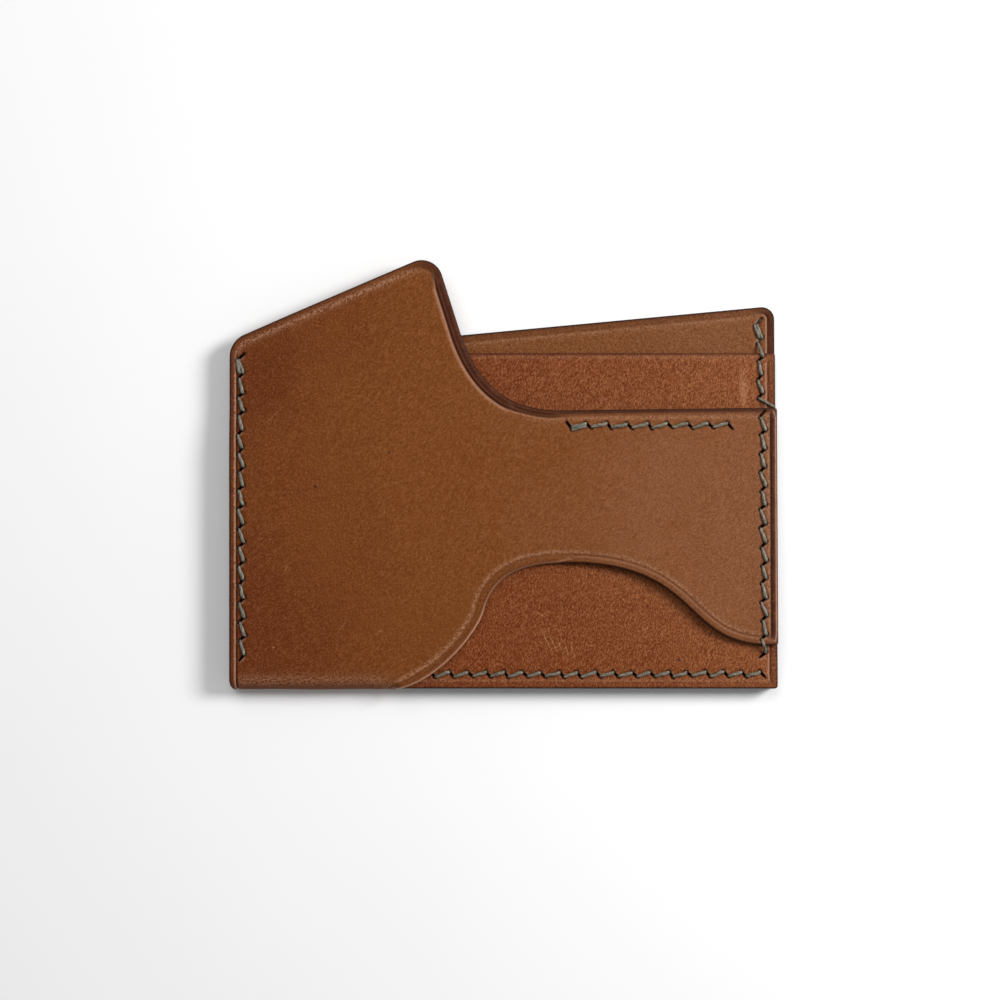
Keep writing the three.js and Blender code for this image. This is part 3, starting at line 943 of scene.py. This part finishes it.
def make_pocket(name, outline, seam_slits, threads, surfaces, fold_marks):
    """A pocket panel. surfaces gives the heights of its underside and its grain side."""
    panel = Panel(name, outline, seam_slits, 1.05)

    def grain(places):
        x, y = places.T
        distance, nearest = panel.border.nearest(places)
        height = surfaces(x, y)[1] + sharp_lines(distance, panel.border.finish[nearest])
        height += smooth(distance, 0, 3) * 0.03 * ripple(x, y, 7, 9)
        channel = thread_closeness(places, threads, 0.42)
        dips = slit_closeness(places, panel.slits, SLIT_DIP_REACH)
        height -= POCKET_CHANNEL * channel + POCKET_SLIT_DIP * dips
        height += POCKET_LIP * slit_lips(places, panel.slits)
        if fold_marks:
            height += pocket_wrinkles(x, y)
        return np.column_stack([x, y, height])

    def flesh(places):
        return np.column_stack([places, surfaces(places[:, 0], places[:, 1])[0]])

    def marks(places):
        return side_marks(panel.border, places, threads, panel.slits)

    return panel.build(grain, flesh, marks)


def middle_surfaces(x, y):
    """The underside and the grain side of the middle pocket."""
    grip = held(x, y)
    under_lower = smooth(y, LOWER_POCKET_TOP + 0.8, LOWER_POCKET_TOP - 0.8)
    rise = 0.45 * short_stack(x, y)
    bottom = MIDDLE_BOTTOM + (BACK_JOINT - MIDDLE_BOTTOM) * grip * (1 - short_stack(x, y))
    top = MIDDLE_TOP + (MIDDLE_JOINT - MIDDLE_TOP) * grip * under_lower
    return bottom, top + rise


def lower_surfaces(x, y):
    """The underside and the grain side of the lower pocket."""
    grip = held(x, y)
    under_front = smooth(y - cut_out_edge(x), 0.6, 2.2)
    bottom = LOWER_BOTTOM + (MIDDLE_JOINT - LOWER_BOTTOM) * grip
    top = LOWER_TOP + (FRONT_JOINT - LOWER_TOP) * grip * under_front
    return bottom, top


# --- Threads ----------------------------------------------------------------------------------


def smooth_path(points, step):
    """A rounded path through the points, with evenly spaced places."""
    path = np.array(points, float)
    for _ in range(3):
        cut_a = path[:-1] * 0.75 + path[1:] * 0.25
        cut_b = path[:-1] * 0.25 + path[1:] * 0.75
        middle = np.empty((len(cut_a) * 2, path.shape[1]))
        middle[0::2], middle[1::2] = cut_a, cut_b
        path = np.vstack([path[:1], middle, path[-1:]])
    lengths = np.linalg.norm(np.diff(path[:, :3], axis=0), axis=1)
    places = np.concatenate([[0], np.cumsum(lengths)])
    at = np.linspace(0, places[-1], max(3, round(places[-1] / step) + 1))
    return np.column_stack([np.interp(at, places, path[:, k]) for k in range(path.shape[1])])


def taut(points):
    """The heights of a thread pulled tight over the surface points, from its first to its last."""
    run = np.concatenate([[0], np.cumsum(np.linalg.norm(np.diff(points[:, :2], axis=0), axis=1))])
    hull = []
    for at in zip(run, points[:, 2]):
        while len(hull) > 1:
            (ax, ay), (bx, by) = hull[-2], hull[-1]
            if (bx - ax) * (at[1] - ay) < (by - ay) * (at[0] - ax):
                break
            hull.pop()
        hull.append(at)
    return np.interp(run, [p[0] for p in hull], [p[1] for p in hull])


def top_height(x, y):
    """The height of the uppermost leather at a place."""
    front = (y > cut_out_edge(x)) & ((x < THROAT_START[0]) | (y < BAND_TOP_RIGHT[1]))
    height = np.full(x.shape, BACK_TOP)
    height = np.where(y < MIDDLE_POCKET_TOP, middle_surfaces(x, y)[1], height)
    height = np.where(y < LOWER_POCKET_TOP, lower_surfaces(x, y)[1], height)
    return np.where(front, FRONT_TOP + front_lift(x, y), height)


def upper_stitch(start, end):
    """The part of a thread that shows on top, out of one slit and into the next. It is squeezed
    narrow where it comes out and stands higher and wider where it goes in. The last number of each
    point is how wide the thread is there."""
    share = np.linspace(0, 1, 19)
    plan = start + (end - start) * share[:, None]
    bend = 0.09 * np.sin(math.tau * share) * np.sin(start @ [7.0, 3.0])
    plan += bend[:, None] * np.array([-1, 1]) * (end - start)[::-1] / np.linalg.norm(end - start)
    lie = -0.02 + 0.2 * smooth(share, 0, 0.8) + 0.04 * np.sin(math.pi * share)
    width = 0.76 + 0.28 * smooth(share, 0, 0.6)
    flat = np.column_stack([plan, top_height(plan[:, 0], plan[:, 1]) + lie, width])
    flat[:, 2] = taut(flat)
    return dipped(flat, -STITCH_DIP)


def under_stitch(start, end, height):
    """The part of a thread on the underside, from one slit to the next."""
    share = np.linspace(0, 1, 9)
    plan = start + (end - start) * share[:, None]
    flat = np.column_stack([plan, np.full(len(share), height), np.full(len(share), UNDER_WIDTH)])
    return dipped(flat, UNDER_DIP)


def dipped(points, depth):
    """The points of a stitch, with both ends moved into the leather."""
    points[[0, -1], 2] += depth
    return list(points)


def thread_runs(seam, height):
    """The two threads of a saddle-stitched seam. Each is on top in every second stitch."""
    runs = []
    for first in (0, 1):
        run = []
        for i, (start, end) in enumerate(zip(seam.starts, seam.ends[1:])):
            if i % 2 != first:
                run += under_stitch(seam.ends[i], seam.starts[i + 1], height)
            elif goes_round_the_edge(seam, i):
                run += under_stitch(start, end, BACK_JOINT)
            else:
                run += upper_stitch(start, end)
        runs.append(run)
    if seam.lock:
        shift = seam.lock_shift * 0.9
        runs.append(upper_stitch(seam.starts[0] + shift, seam.ends[1] + shift))
    return runs


def goes_round_the_edge(seam, index):
    """The stitch of the right seam at the band's top edge is carried round the side instead."""
    return seam is RIGHT_SEAM and seam.holes[index][1] > BAND_TOP_RIGHT[1] > seam.holes[index + 1][1]


def edge_stitch():
    """The thread that is carried over the side of the stack at the band's top corner."""
    index = next(i for i in range(RIGHT_SEAM.stitches) if goes_round_the_edge(RIGHT_SEAM, i))
    x, y = RIGHT_SEAM.starts[index]
    side, top = BAND_TOP_RIGHT
    return [
        (x, y, MIDDLE_JOINT - 0.6, 0.6),
        (x + 0.05, y - 0.05, MIDDLE_TOP + 0.2, 0.7),
        (x + 1.2, y - 0.7, MIDDLE_TOP + 0.3, 0.85),
        (side - 0.6, top + 0.42, MIDDLE_TOP + 0.3, 0.85),
        (side - 0.2, top + 0.34, MIDDLE_TOP + 0.02, 0.8),
        (side - 0.06, top + 0.3, MIDDLE_BOTTOM, 0.8),
        (side - 0.4, top + 0.3, BACK_JOINT - 0.2, 0.7),
    ]


# How far the ends of a stitch go into the leather, on top and on the underside.
STITCH_DIP, UNDER_DIP = 0.62, 0.55
# How wide a hidden stitch is, next to the thread's full width.
UNDER_WIDTH = 0.9
THREAD_SIDES = 14
THREAD_STEP = 0.11
# The strands of a thread, and the length in which they turn once round it.
STRANDS = 3
TWIST_LENGTH = 1.5


def thread_tube(path, side, phase):
    """A waxed thread along a path: a flat oval section with the twist of its strands."""
    count = len(path)
    path, width = path[:, :3], path[:, 3]
    tangent = np.gradient(path, axis=0)
    tangent /= np.linalg.norm(tangent, axis=1)[:, None]
    wide = side - tangent * (tangent @ side)[:, None]
    wide /= np.maximum(np.linalg.norm(wide, axis=1), 1e-9)[:, None]
    high = np.cross(tangent, wide)
    angle = np.linspace(0, math.tau, THREAD_SIDES, endpoint=False)
    length = np.arange(count) * THREAD_STEP
    twist = length[:, None] * math.tau / TWIST_LENGTH + phase
    swell = 1 + 0.075 * np.cos(STRANDS * angle[None] - twist)
    swell = swell + 0.03 * np.sin(length * 2.3 + phase)[:, None]
    end_taper = (width * np.minimum(1, 0.55 + np.minimum(length, length[::-1]) * 1.2))[:, None]
    a = (THREAD_WIDTH / 2) * np.cos(angle)[None] * swell * end_taper
    b = (THREAD_HEIGHT / 2) * np.sin(angle)[None] * swell * end_taper
    ring = path[:, None] + a[..., None] * wide[:, None] + b[..., None] * high[:, None]
    vertices = ring.reshape(-1, 3)
    # Four-sided faces from each ring of the tube to the next, and a cap on both ends.
    here = np.arange(count - 1)[:, None] * THREAD_SIDES
    k = np.arange(THREAD_SIDES)[None]
    near, far = here + k, here + (k + 1) % THREAD_SIDES
    quads = np.stack([near, far, far + THREAD_SIDES, near + THREAD_SIDES], axis=-1)
    last = (count - 1) * THREAD_SIDES
    faces = [*quads.reshape(-1, 4), k[0, ::-1], last + k[0]]
    twist_mark = (0.5 + 0.5 * np.cos(STRANDS * angle[None] - twist)).reshape(-1)
    # Painted shade on the thread where it sinks into its slit.
    above = vertices[:, 2] - top_height(vertices[:, 0], vertices[:, 1])
    sunk_shade_mark = smooth(above, 0.22, -0.12) * (vertices[:, 2] > BACK_TOP - 0.3)
    return vertices, faces, {"twist": twist_mark, "sunk_shade": sunk_shade_mark}


def make_thread(seam, height, extra_paths=()):
    """The threads of a seam. height is where they lie on the underside."""
    points, faces, marks = np.empty((0, 3)), [], []
    side = np.array([-seam.along[1], seam.along[0], 0.0])
    for number, run in enumerate([*thread_runs(seam, height), *extra_paths]):
        path = smooth_path(run, THREAD_STEP)
        its_points, its_faces, its_marks = thread_tube(path, side, 1.7 * number)
        faces += [face + len(points) for face in its_faces]
        points = np.vstack([points, its_points])
        marks.append(its_marks)
    joined = {key: np.concatenate([each[key] for each in marks]) for key in marks[0]}
    return new_piece(seam.node.replace("thread", "stitches"), points, faces, joined)


# --- Materials --------------------------------------------------------------------------------


class Nodes:
    """Builds a material's node tree."""

    def __init__(self, name):
        self.material = bpy.data.materials.new(name)
        self.material.use_nodes = True
        self.tree = self.material.node_tree
        self.shader = self.tree.nodes["Principled BSDF"]
        self.position = self.add("ShaderNodeTexCoord", "Object", {})

    def add(self, kind, output, inputs, **settings):
        """A new node with those settings and inputs. Returns the output of that name."""
        made = self.tree.nodes.new(kind)
        for key, value in settings.items():
            setattr(made, key, value)
        for key, value in inputs.items():
            self.put(made.inputs[key], value)
        return made.outputs[output]

    def put(self, socket, value):
        """Links another node's output to a socket, or sets the socket's own value."""
        if isinstance(value, bpy.types.NodeSocket):
            self.tree.links.new(value, socket)
        else:
            socket.default_value = value

    def mark(self, name):
        """One of the numbers that the mesh gives every point."""
        return self.add("ShaderNodeAttribute", "Fac", {}, attribute_name=name)

    def along(self, axis):
        """How far along that axis a place is, in metres."""
        return self.add("ShaderNodeSeparateXYZ", axis, {"Vector": self.position})

    def placed(self, degrees, scale, location=(0, 0, 0)):
        """The position as seen from a frame with that place, turn and unit lengths."""
        turn = (0, 0, math.radians(degrees))
        inputs = {"Vector": self.position, "Location": location, "Rotation": turn, "Scale": scale}
        return self.add("ShaderNodeMapping", "Vector", inputs, vector_type="TEXTURE")

    def streaks(self, degrees, length):
        """The position, stretched so that noise turns into streaks in that direction."""
        return self.placed(degrees, (length, 1, 1))

    def spot(self, x, y, degrees, half_length, half_width):
        """1 in a small oval at a place of the drawing, fading to 0 at its rim."""
        place = in_metres(np.array([x, y, 0.0]))
        inside = self.placed(degrees, (half_length * MM, half_width * MM, 1), (place[0], place[1], 0))
        away = self.add("ShaderNodeVectorMath", "Value", {0: inside}, operation="LENGTH")
        return self.ranged(away, 1, 0.3)

    def noise(self, size, detail=2.0, roughness=0.5, vector=None, distortion=0.0):
        """Noise with features of about that size in millimetres."""
        inputs = {
            "Vector": vector or self.position, "Scale": 1 / (size * MM), "Detail": detail,
            "Roughness": roughness, "Distortion": distortion,
        }
        return self.add("ShaderNodeTexNoise", "Fac", inputs)

    def cells(self, size, vector=None, feature="DISTANCE_TO_EDGE"):
        """Distances in a pattern of cells of about that size in millimetres."""
        inputs = {"Vector": vector or self.position, "Scale": 1 / (size * MM)}
        return self.add("ShaderNodeTexVoronoi", "Distance", inputs, feature=feature)

    def math(self, operation, a, b=0.0, clamp=False):
        """One step of arithmetic."""
        return self.add("ShaderNodeMath", "Value", {0: a, 1: b}, operation=operation, use_clamp=clamp)

    def scaled(self, value, factor):
        """The value times the factor."""
        return self.math("MULTIPLY", value, factor)

    def total(self, first, *others):
        """The sum of all the values."""
        for other in others:
            first = self.math("ADD", first, other)
        return first

    def ranged(self, value, low, high, to_low=0.0, to_high=1.0):
        """The value's way from low to high, as a smooth way from to_low to to_high."""
        inputs = dict(enumerate((value, low, high, to_low, to_high)))
        return self.add("ShaderNodeMapRange", "Result", inputs, interpolation_type="SMOOTHSTEP")

    def mix(self, share, a, b, blend="MIX"):
        """The colour a with that share of b in it."""
        inputs = {"Factor": share, "A": a, "B": b}
        return self.add("ShaderNodeMix", "Result", inputs, data_type="RGBA", blend_type=blend)

    def bump(self, height, depth, strength, normal=None):
        """Relief of that depth in millimetres, on top of the relief in normal."""
        inputs = {"Strength": strength, "Distance": depth * MM, "Height": height}
        if normal:
            inputs["Normal"] = normal
        return self.add("ShaderNodeBump", "Normal", inputs)


def shade(red, green, blue):
    """A colour given as 0-255 display values, for a shader socket."""
    shares = [value / 255 for value in (red, green, blue)]
    return (*(((s + 0.055) / 1.055) ** 2.4 if s > 0.04 else s / 12.92 for s in shares), 1)


# Slow changes of tone over the holder: the axis, from where to where in metres, and how much.
# The X slopes are painted light: darker towards the left and a paler sheen towards the right,
# where the key light falls. The Y slopes make it darker towards the top and the bottom.
TONE_SLOPES = [
    ("X", -0.066, -0.006, -0.2, 0.0),
    ("X", -0.03, 0.06, 0.0, 0.2),
    ("Y", -0.05, 0.0, -0.07, 0.0),
    ("Y", 0.0, 0.045, 0.0, -0.06),
]


def leather(name, deep, plain, worn_and_sheen, gloss, grain, grain_turn, scars_and_highlights):
    """Waxed vegetable-tanned leather. grain is how strongly its fine grain shows, grain_turn is the
    direction of it in degrees, and scars_and_highlights are small marks as (x, y, degrees, half
    length, half width, strength), dark if the strength is below zero; one pale mark on the pocket
    is a painted highlight. worn_and_sheen is the pale colour of patches of wear and of the painted
    sheen."""
    n = Nodes(name)
    blotches = n.noise(17, 3, 0.55)
    mottle = n.noise(2.6, 4, 0.6)
    slanted = n.noise(0.16, 1, 0.6, n.streaks(grain_turn, 3.0), 0.2)
    crossed = n.noise(0.2, 1, 0.6, n.streaks(grain_turn - 100, 2.2), 0.2)
    fine = n.noise(0.14, 1, 0.7)
    pores = n.cells(0.62, n.streaks(40, 1.6))
    texture = n.total(n.scaled(slanted, 0.6), n.scaled(crossed, 0.18), n.scaled(fine, 0.22))

    # Blotches, mottling, and the painted light of the slopes: darker on the left and a paler sheen on
    # the right.
    slopes = [n.ranged(n.along(axis), *slope) for axis, *slope in TONE_SLOPES]
    tone = n.total(n.scaled(blotches, 0.2), n.scaled(mottle, 0.16), *slopes)
    colour = n.mix(n.ranged(tone, -0.05, 0.17), deep, plain)
    colour = n.mix(n.ranged(tone, 0.17, 0.46), colour, worn_and_sheen)

    # Old scar marks and specks in the hide, and a painted highlight among the pale marks.
    specks = n.cells(9.0, feature="F1")
    colour = n.mix(n.ranged(specks, 0.04, 0.02), colour, shade(70, 30, 16))
    for *scar, strength in scars_and_highlights:
        tint = shade(176, 128, 88) if strength > 0 else shade(52, 20, 12)
        colour = n.mix(n.scaled(n.spot(*scar), abs(strength)), colour, tint)

    # The fine grain: dark valleys and pale ridges.
    valley = n.mix(1.0, colour, shade(168, 138, 120), "MULTIPLY")
    ridge = n.mix(0.85, colour, shade(112, 84, 62), "ADD")
    colour = n.mix(n.ranged(texture, 0.5, 0.38, 0, grain), colour, valley)
    colour = n.mix(n.ranged(texture, 0.5, 0.62, 0, grain), colour, ridge)

    # The flesh side, and what the marks of the mesh say: pale bands with dark dots, from wear on most
    # edges and a painted highlight on the lit edges and along the fold, the darker strip outside a
    # crease, painted shade in the hollows along the threads, pressed creases with painted shade in
    # their grooves and in the slits, burnished rims and painted highlight lines.
    suede = n.mix(n.ranged(texture, 0.4, 0.6), shade(88, 48, 24), shade(134, 90, 58))
    colour = n.mix(n.mark("flesh"), colour, suede)
    # Mottling for the pale bands, including the painted highlight ones.
    band_mottle = n.noise(0.34, 2, 0.75)
    ragged = n.ranged(n.noise(0.5, 3, 0.7), 0.2, 0.6, 0.6, 1.0)
    marked = [
        ("wear_and_highlight", n.ranged(band_mottle, 0.42, 0.6, 0.1, 1.0), shade(156, 112, 84)),
        ("wear_and_highlight", n.ranged(band_mottle, 0.42, 0.32), shade(52, 22, 14)),
        ("strip", n.ranged(n.noise(1.8, 3, 0.6), 0.25, 0.7, 0.7, 1.0), shade(64, 26, 12)),
        ("channel", 0.5, shade(60, 24, 10)),
        ("crease", ragged, shade(40, 12, 8)),
        ("rim", ragged, shade(32, 12, 9)),
        ("painted_highlight", ragged, shade(186, 140, 114)),
    ]
    for key, share, tint in marked:
        colour = n.mix(n.scaled(n.mark(key), share), colour, tint)
    n.put(n.shader.inputs["Base Color"], colour)

    rough = n.total(n.scaled(mottle, 0.22), n.scaled(texture, 0.2), gloss - 0.18)
    rough = n.math("SUBTRACT", rough, n.scaled(n.mark("rim"), 0.12))
    rough = n.math("ADD", rough, n.scaled(n.mark("flesh"), 0.35), clamp=True)
    n.put(n.shader.inputs["Roughness"], rough)
    n.shader.inputs["Specular IOR Level"].default_value = 0.13

    # Relief, as (height, depth in millimetres, strength).
    normal = None
    reliefs = [
        (slanted, 0.06 + 0.1 * grain, 0.8),
        (crossed, 0.1 * grain, 0.7),
        (n.ranged(pores, 0.0, 0.12), 0.02, 0.5),
        (fine, 0.025, 0.7),
        (mottle, 0.09, 0.35),
    ]
    for height, depth, strength in reliefs:
        normal = n.bump(height, depth, strength, normal)
    n.put(n.shader.inputs["Normal"], normal)
    return n.material


def waxed_thread():
    """Braided thread in waxed grey-brown linen."""
    n = Nodes("waxed_thread")
    fibres = n.noise(0.14, 3, 0.6)
    patches = n.noise(1.9, 2, 0.5)
    colour = n.mix(n.ranged(patches, 0.3, 0.7), shade(86, 80, 66), shade(116, 109, 92))
    colour = n.mix(n.scaled(n.mark("twist"), 0.65), colour, shade(44, 38, 30))
    colour = n.mix(n.ranged(fibres, 0.5, 0.7, 0, 0.7), colour, shade(190, 184, 164))
    # Painted shade where the thread goes down into a slit.
    colour = n.mix(n.scaled(n.mark("sunk_shade"), 0.75), colour, shade(44, 34, 26))
    n.put(n.shader.inputs["Base Color"], colour)
    n.put(n.shader.inputs["Roughness"], n.ranged(fibres, 0.2, 0.8, 0.36, 0.62))
    n.shader.inputs["Specular IOR Level"].default_value = 0.55
    n.put(n.shader.inputs["Normal"], n.bump(fibres, 0.04, 0.8))
    return n.material


def floor_paper():
    """Plain pale paper."""
    n = Nodes("pale_floor")
    colour = n.mix(n.noise(60, 2, 0.5), shade(243, 243, 243), shade(247, 247, 247))
    n.put(n.shader.inputs["Base Color"], colour)
    n.put(n.shader.inputs["Roughness"], n.ranged(n.noise(3, 2, 0.5), 0.3, 0.7, 0.75, 0.9))
    return n.material


# --- Putting it together ----------------------------------------------------------------------


def gather(parts):
    """The slits of all the parts in one list, and their threads in another."""
    all_slits = [slit for slits, _ in parts for slit in slits]
    return all_slits, [thread for _, threads in parts for thread in threads]


FRONT_SLITS, FRONT_THREADS = gather([
    plan_slits(LEFT_SEAM),
    plan_slits(RIGHT_SEAM, BAND_BOTTOM_RIGHT[1], BAND_TOP_RIGHT[1]),
    plan_slits(BAND_SEAM),
])
BACK_SLITS, BACK_THREADS = gather([back_slits(seam) for seam in OUTER_SEAMS])
MIDDLE_SLITS, _ = gather([plan_slits(seam) for seam in OUTER_SEAMS])
_, MIDDLE_THREADS = plan_slits(RIGHT_SEAM, BAND_TOP_RIGHT[1], MIDDLE_POCKET_TOP)
LOWER_SLITS, _ = gather([plan_slits(seam) for seam in ALL_SEAMS])
_, LOWER_THREADS = gather([plan_slits(BOTTOM_SEAM), plan_slits(RIGHT_SEAM, 0, BAND_BOTTOM_RIGHT[1])])


# Small marks in the leather, and one painted highlight on the pocket: x, y, direction in degrees, half
# length, half width, strength.
FRONT_SCARS = [
    (7.9, 49.8, 43, 3.2, 0.09, 0.3), (17.2, 72.0, 50, 0.7, 0.1, 0.4),
    (18.6, 71.3, 55, 0.6, 0.09, 0.35), (20.6, 58.0, 80, 0.5, 0.1, 0.35),
    (10.4, 22.2, 75, 1.1, 0.12, 0.4), (7.5, 27.4, 60, 0.8, 0.1, 0.25),
    (8.1, 7.8, 0, 0.22, 0.18, 0.75), (20.6, 11.6, 52, 1.7, 0.14, 0.25),
    (27.6, 10.7, 5, 0.8, 0.3, 0.2), (50.9, 33.6, 0, 0.24, 0.2, -0.7),
    (55.6, 42.2, 30, 0.35, 0.14, -0.4), (32.4, 40.2, 62, 0.9, 0.08, 0.25),
    (36.0, 27.0, 40, 1.3, 0.08, 0.2), (58.1, 36.6, 70, 0.7, 0.09, 0.3),
    (69.0, 34.0, 48, 2.1, 0.08, 0.18),
]
POCKET_SCARS_AND_HIGHLIGHT = [
    (57.8 + 1.2 * k, 9.0 - 0.45 * k, 118 - 4 * k, 2.8 - 0.2 * k, 0.15, 0.55 - 0.06 * k)
    for k in range(5)
]
POCKET_SCARS_AND_HIGHLIGHT += [
    (56.6, 13.8, 150, 1.5, 0.14, 0.4), (76.0, 11.0, 62, 1.6, 0.2, 0.35),
    # A painted highlight where the middle pocket curves down towards the right seam.
    (93.9, 55.5, 90, 5.0, 1.1, 0.3),
]


def make_pieces():
    """Every piece of the card holder, in place of its CAD node."""
    outer = leather(
        "outer_leather", shade(97, 42, 3), shade(113, 60, 14), shade(124, 77, 48),
        gloss=0.6, grain=0.42, grain_turn=44, scars_and_highlights=FRONT_SCARS,
    )
    pocket = leather(
        "pocket_leather", shade(98, 38, 5), shade(113, 52, 10), shade(130, 74, 37),
        gloss=0.5, grain=0.8, grain_turn=66, scars_and_highlights=POCKET_SCARS_AND_HIGHLIGHT,
    )
    thread = waxed_thread()
    wrap = make_outer_wrap()
    middle = make_pocket(
        "middle_pocket_leather", pocket_outline(MIDDLE_POCKET_TOP, 3.0), MIDDLE_SLITS, MIDDLE_THREADS,
        middle_surfaces, fold_marks=False,
    )
    lower = make_pocket(
        "lower_pocket_leather", pocket_outline(LOWER_POCKET_TOP, 1.0), LOWER_SLITS, LOWER_THREADS,
        lower_surfaces, fold_marks=True,
    )
    pieces = [
        (wrap, "outer_wrap", outer, "outer_leather"),
        (middle, "middle_pocket", pocket, "pocket_leather"),
        (lower, "lower_pocket", pocket, "pocket_leather"),
    ]
    for seam in ALL_SEAMS:
        underside = LOWER_BOTTOM - UNDER_THREAD if seam is BAND_SEAM else UNDER_THREAD
        extra = [edge_stitch()] if seam is RIGHT_SEAM else []
        pieces.append((make_thread(seam, underside, extra), seam.node, thread, "waxed_thread"))
    for piece, node, material, slot in pieces:
        piece.data.materials.append(material)
        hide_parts(node)
        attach(piece, "root")


def make_floor():
    """The pale surface that the holder lies on."""
    half = 0.9
    mesh = bpy.data.meshes.new("floor")
    corners = [(-half, -half, 0), (half, -half, 0), (half, half, 0), (-half, half, 0)]
    mesh.from_pydata(corners, [], [(0, 1, 2, 3)])
    mesh.materials.append(floor_paper())
    new_object("floor", mesh)


def add_area_light(name, place, aim, size, power):
    """A round soft light, turned towards a place."""
    light = bpy.data.lights.new(name, "AREA")
    light.shape = "DISK"
    light.size = size
    light.energy = power
    lamp = new_object(name, light)
    lamp.location = place
    lamp.rotation_euler = (Vector(aim) - Vector(place)).to_track_quat("-Z", "Y").to_euler()


def make_lights():
    """A soft light from the right, a larger one from above, and an even white surround."""
    add_area_light("key", (0.42, 0.16, 0.36), (0, 0, 0), 0.22, 3.2)
    add_area_light("fill", (-0.2, 0.5, 0.8), (0, 0, 0), 0.7, 3.2)
    world = bpy.data.worlds.new("studio")
    bpy.context.scene.world = world
    world.use_nodes = True
    background = world.node_tree.nodes["Background"]
    background.inputs["Color"].default_value = (1, 1, 1, 1)
    background.inputs["Strength"].default_value = 0.3


def make_camera():
    """Looks straight down. The picture is 182 mm wide in the plane of the front panel."""
    picture_width = 182.0
    distance = 450.0
    sensor = 36.0
    centre = (49.32, 34.63)
    camera = bpy.data.cameras.new("camera")
    camera.sensor_width = sensor
    camera.lens = sensor * distance / picture_width
    camera.clip_start = 0.01
    holder = new_object("camera", camera)
    holder.location = in_metres(np.array([*centre, FRONT_TOP + distance]))
    bpy.context.scene.camera = holder


make_pieces()
make_floor()
make_lights()
make_camera()
bpy.context.scene.view_settings.view_transform = "Standard"

bpy.context.view_layer.update()
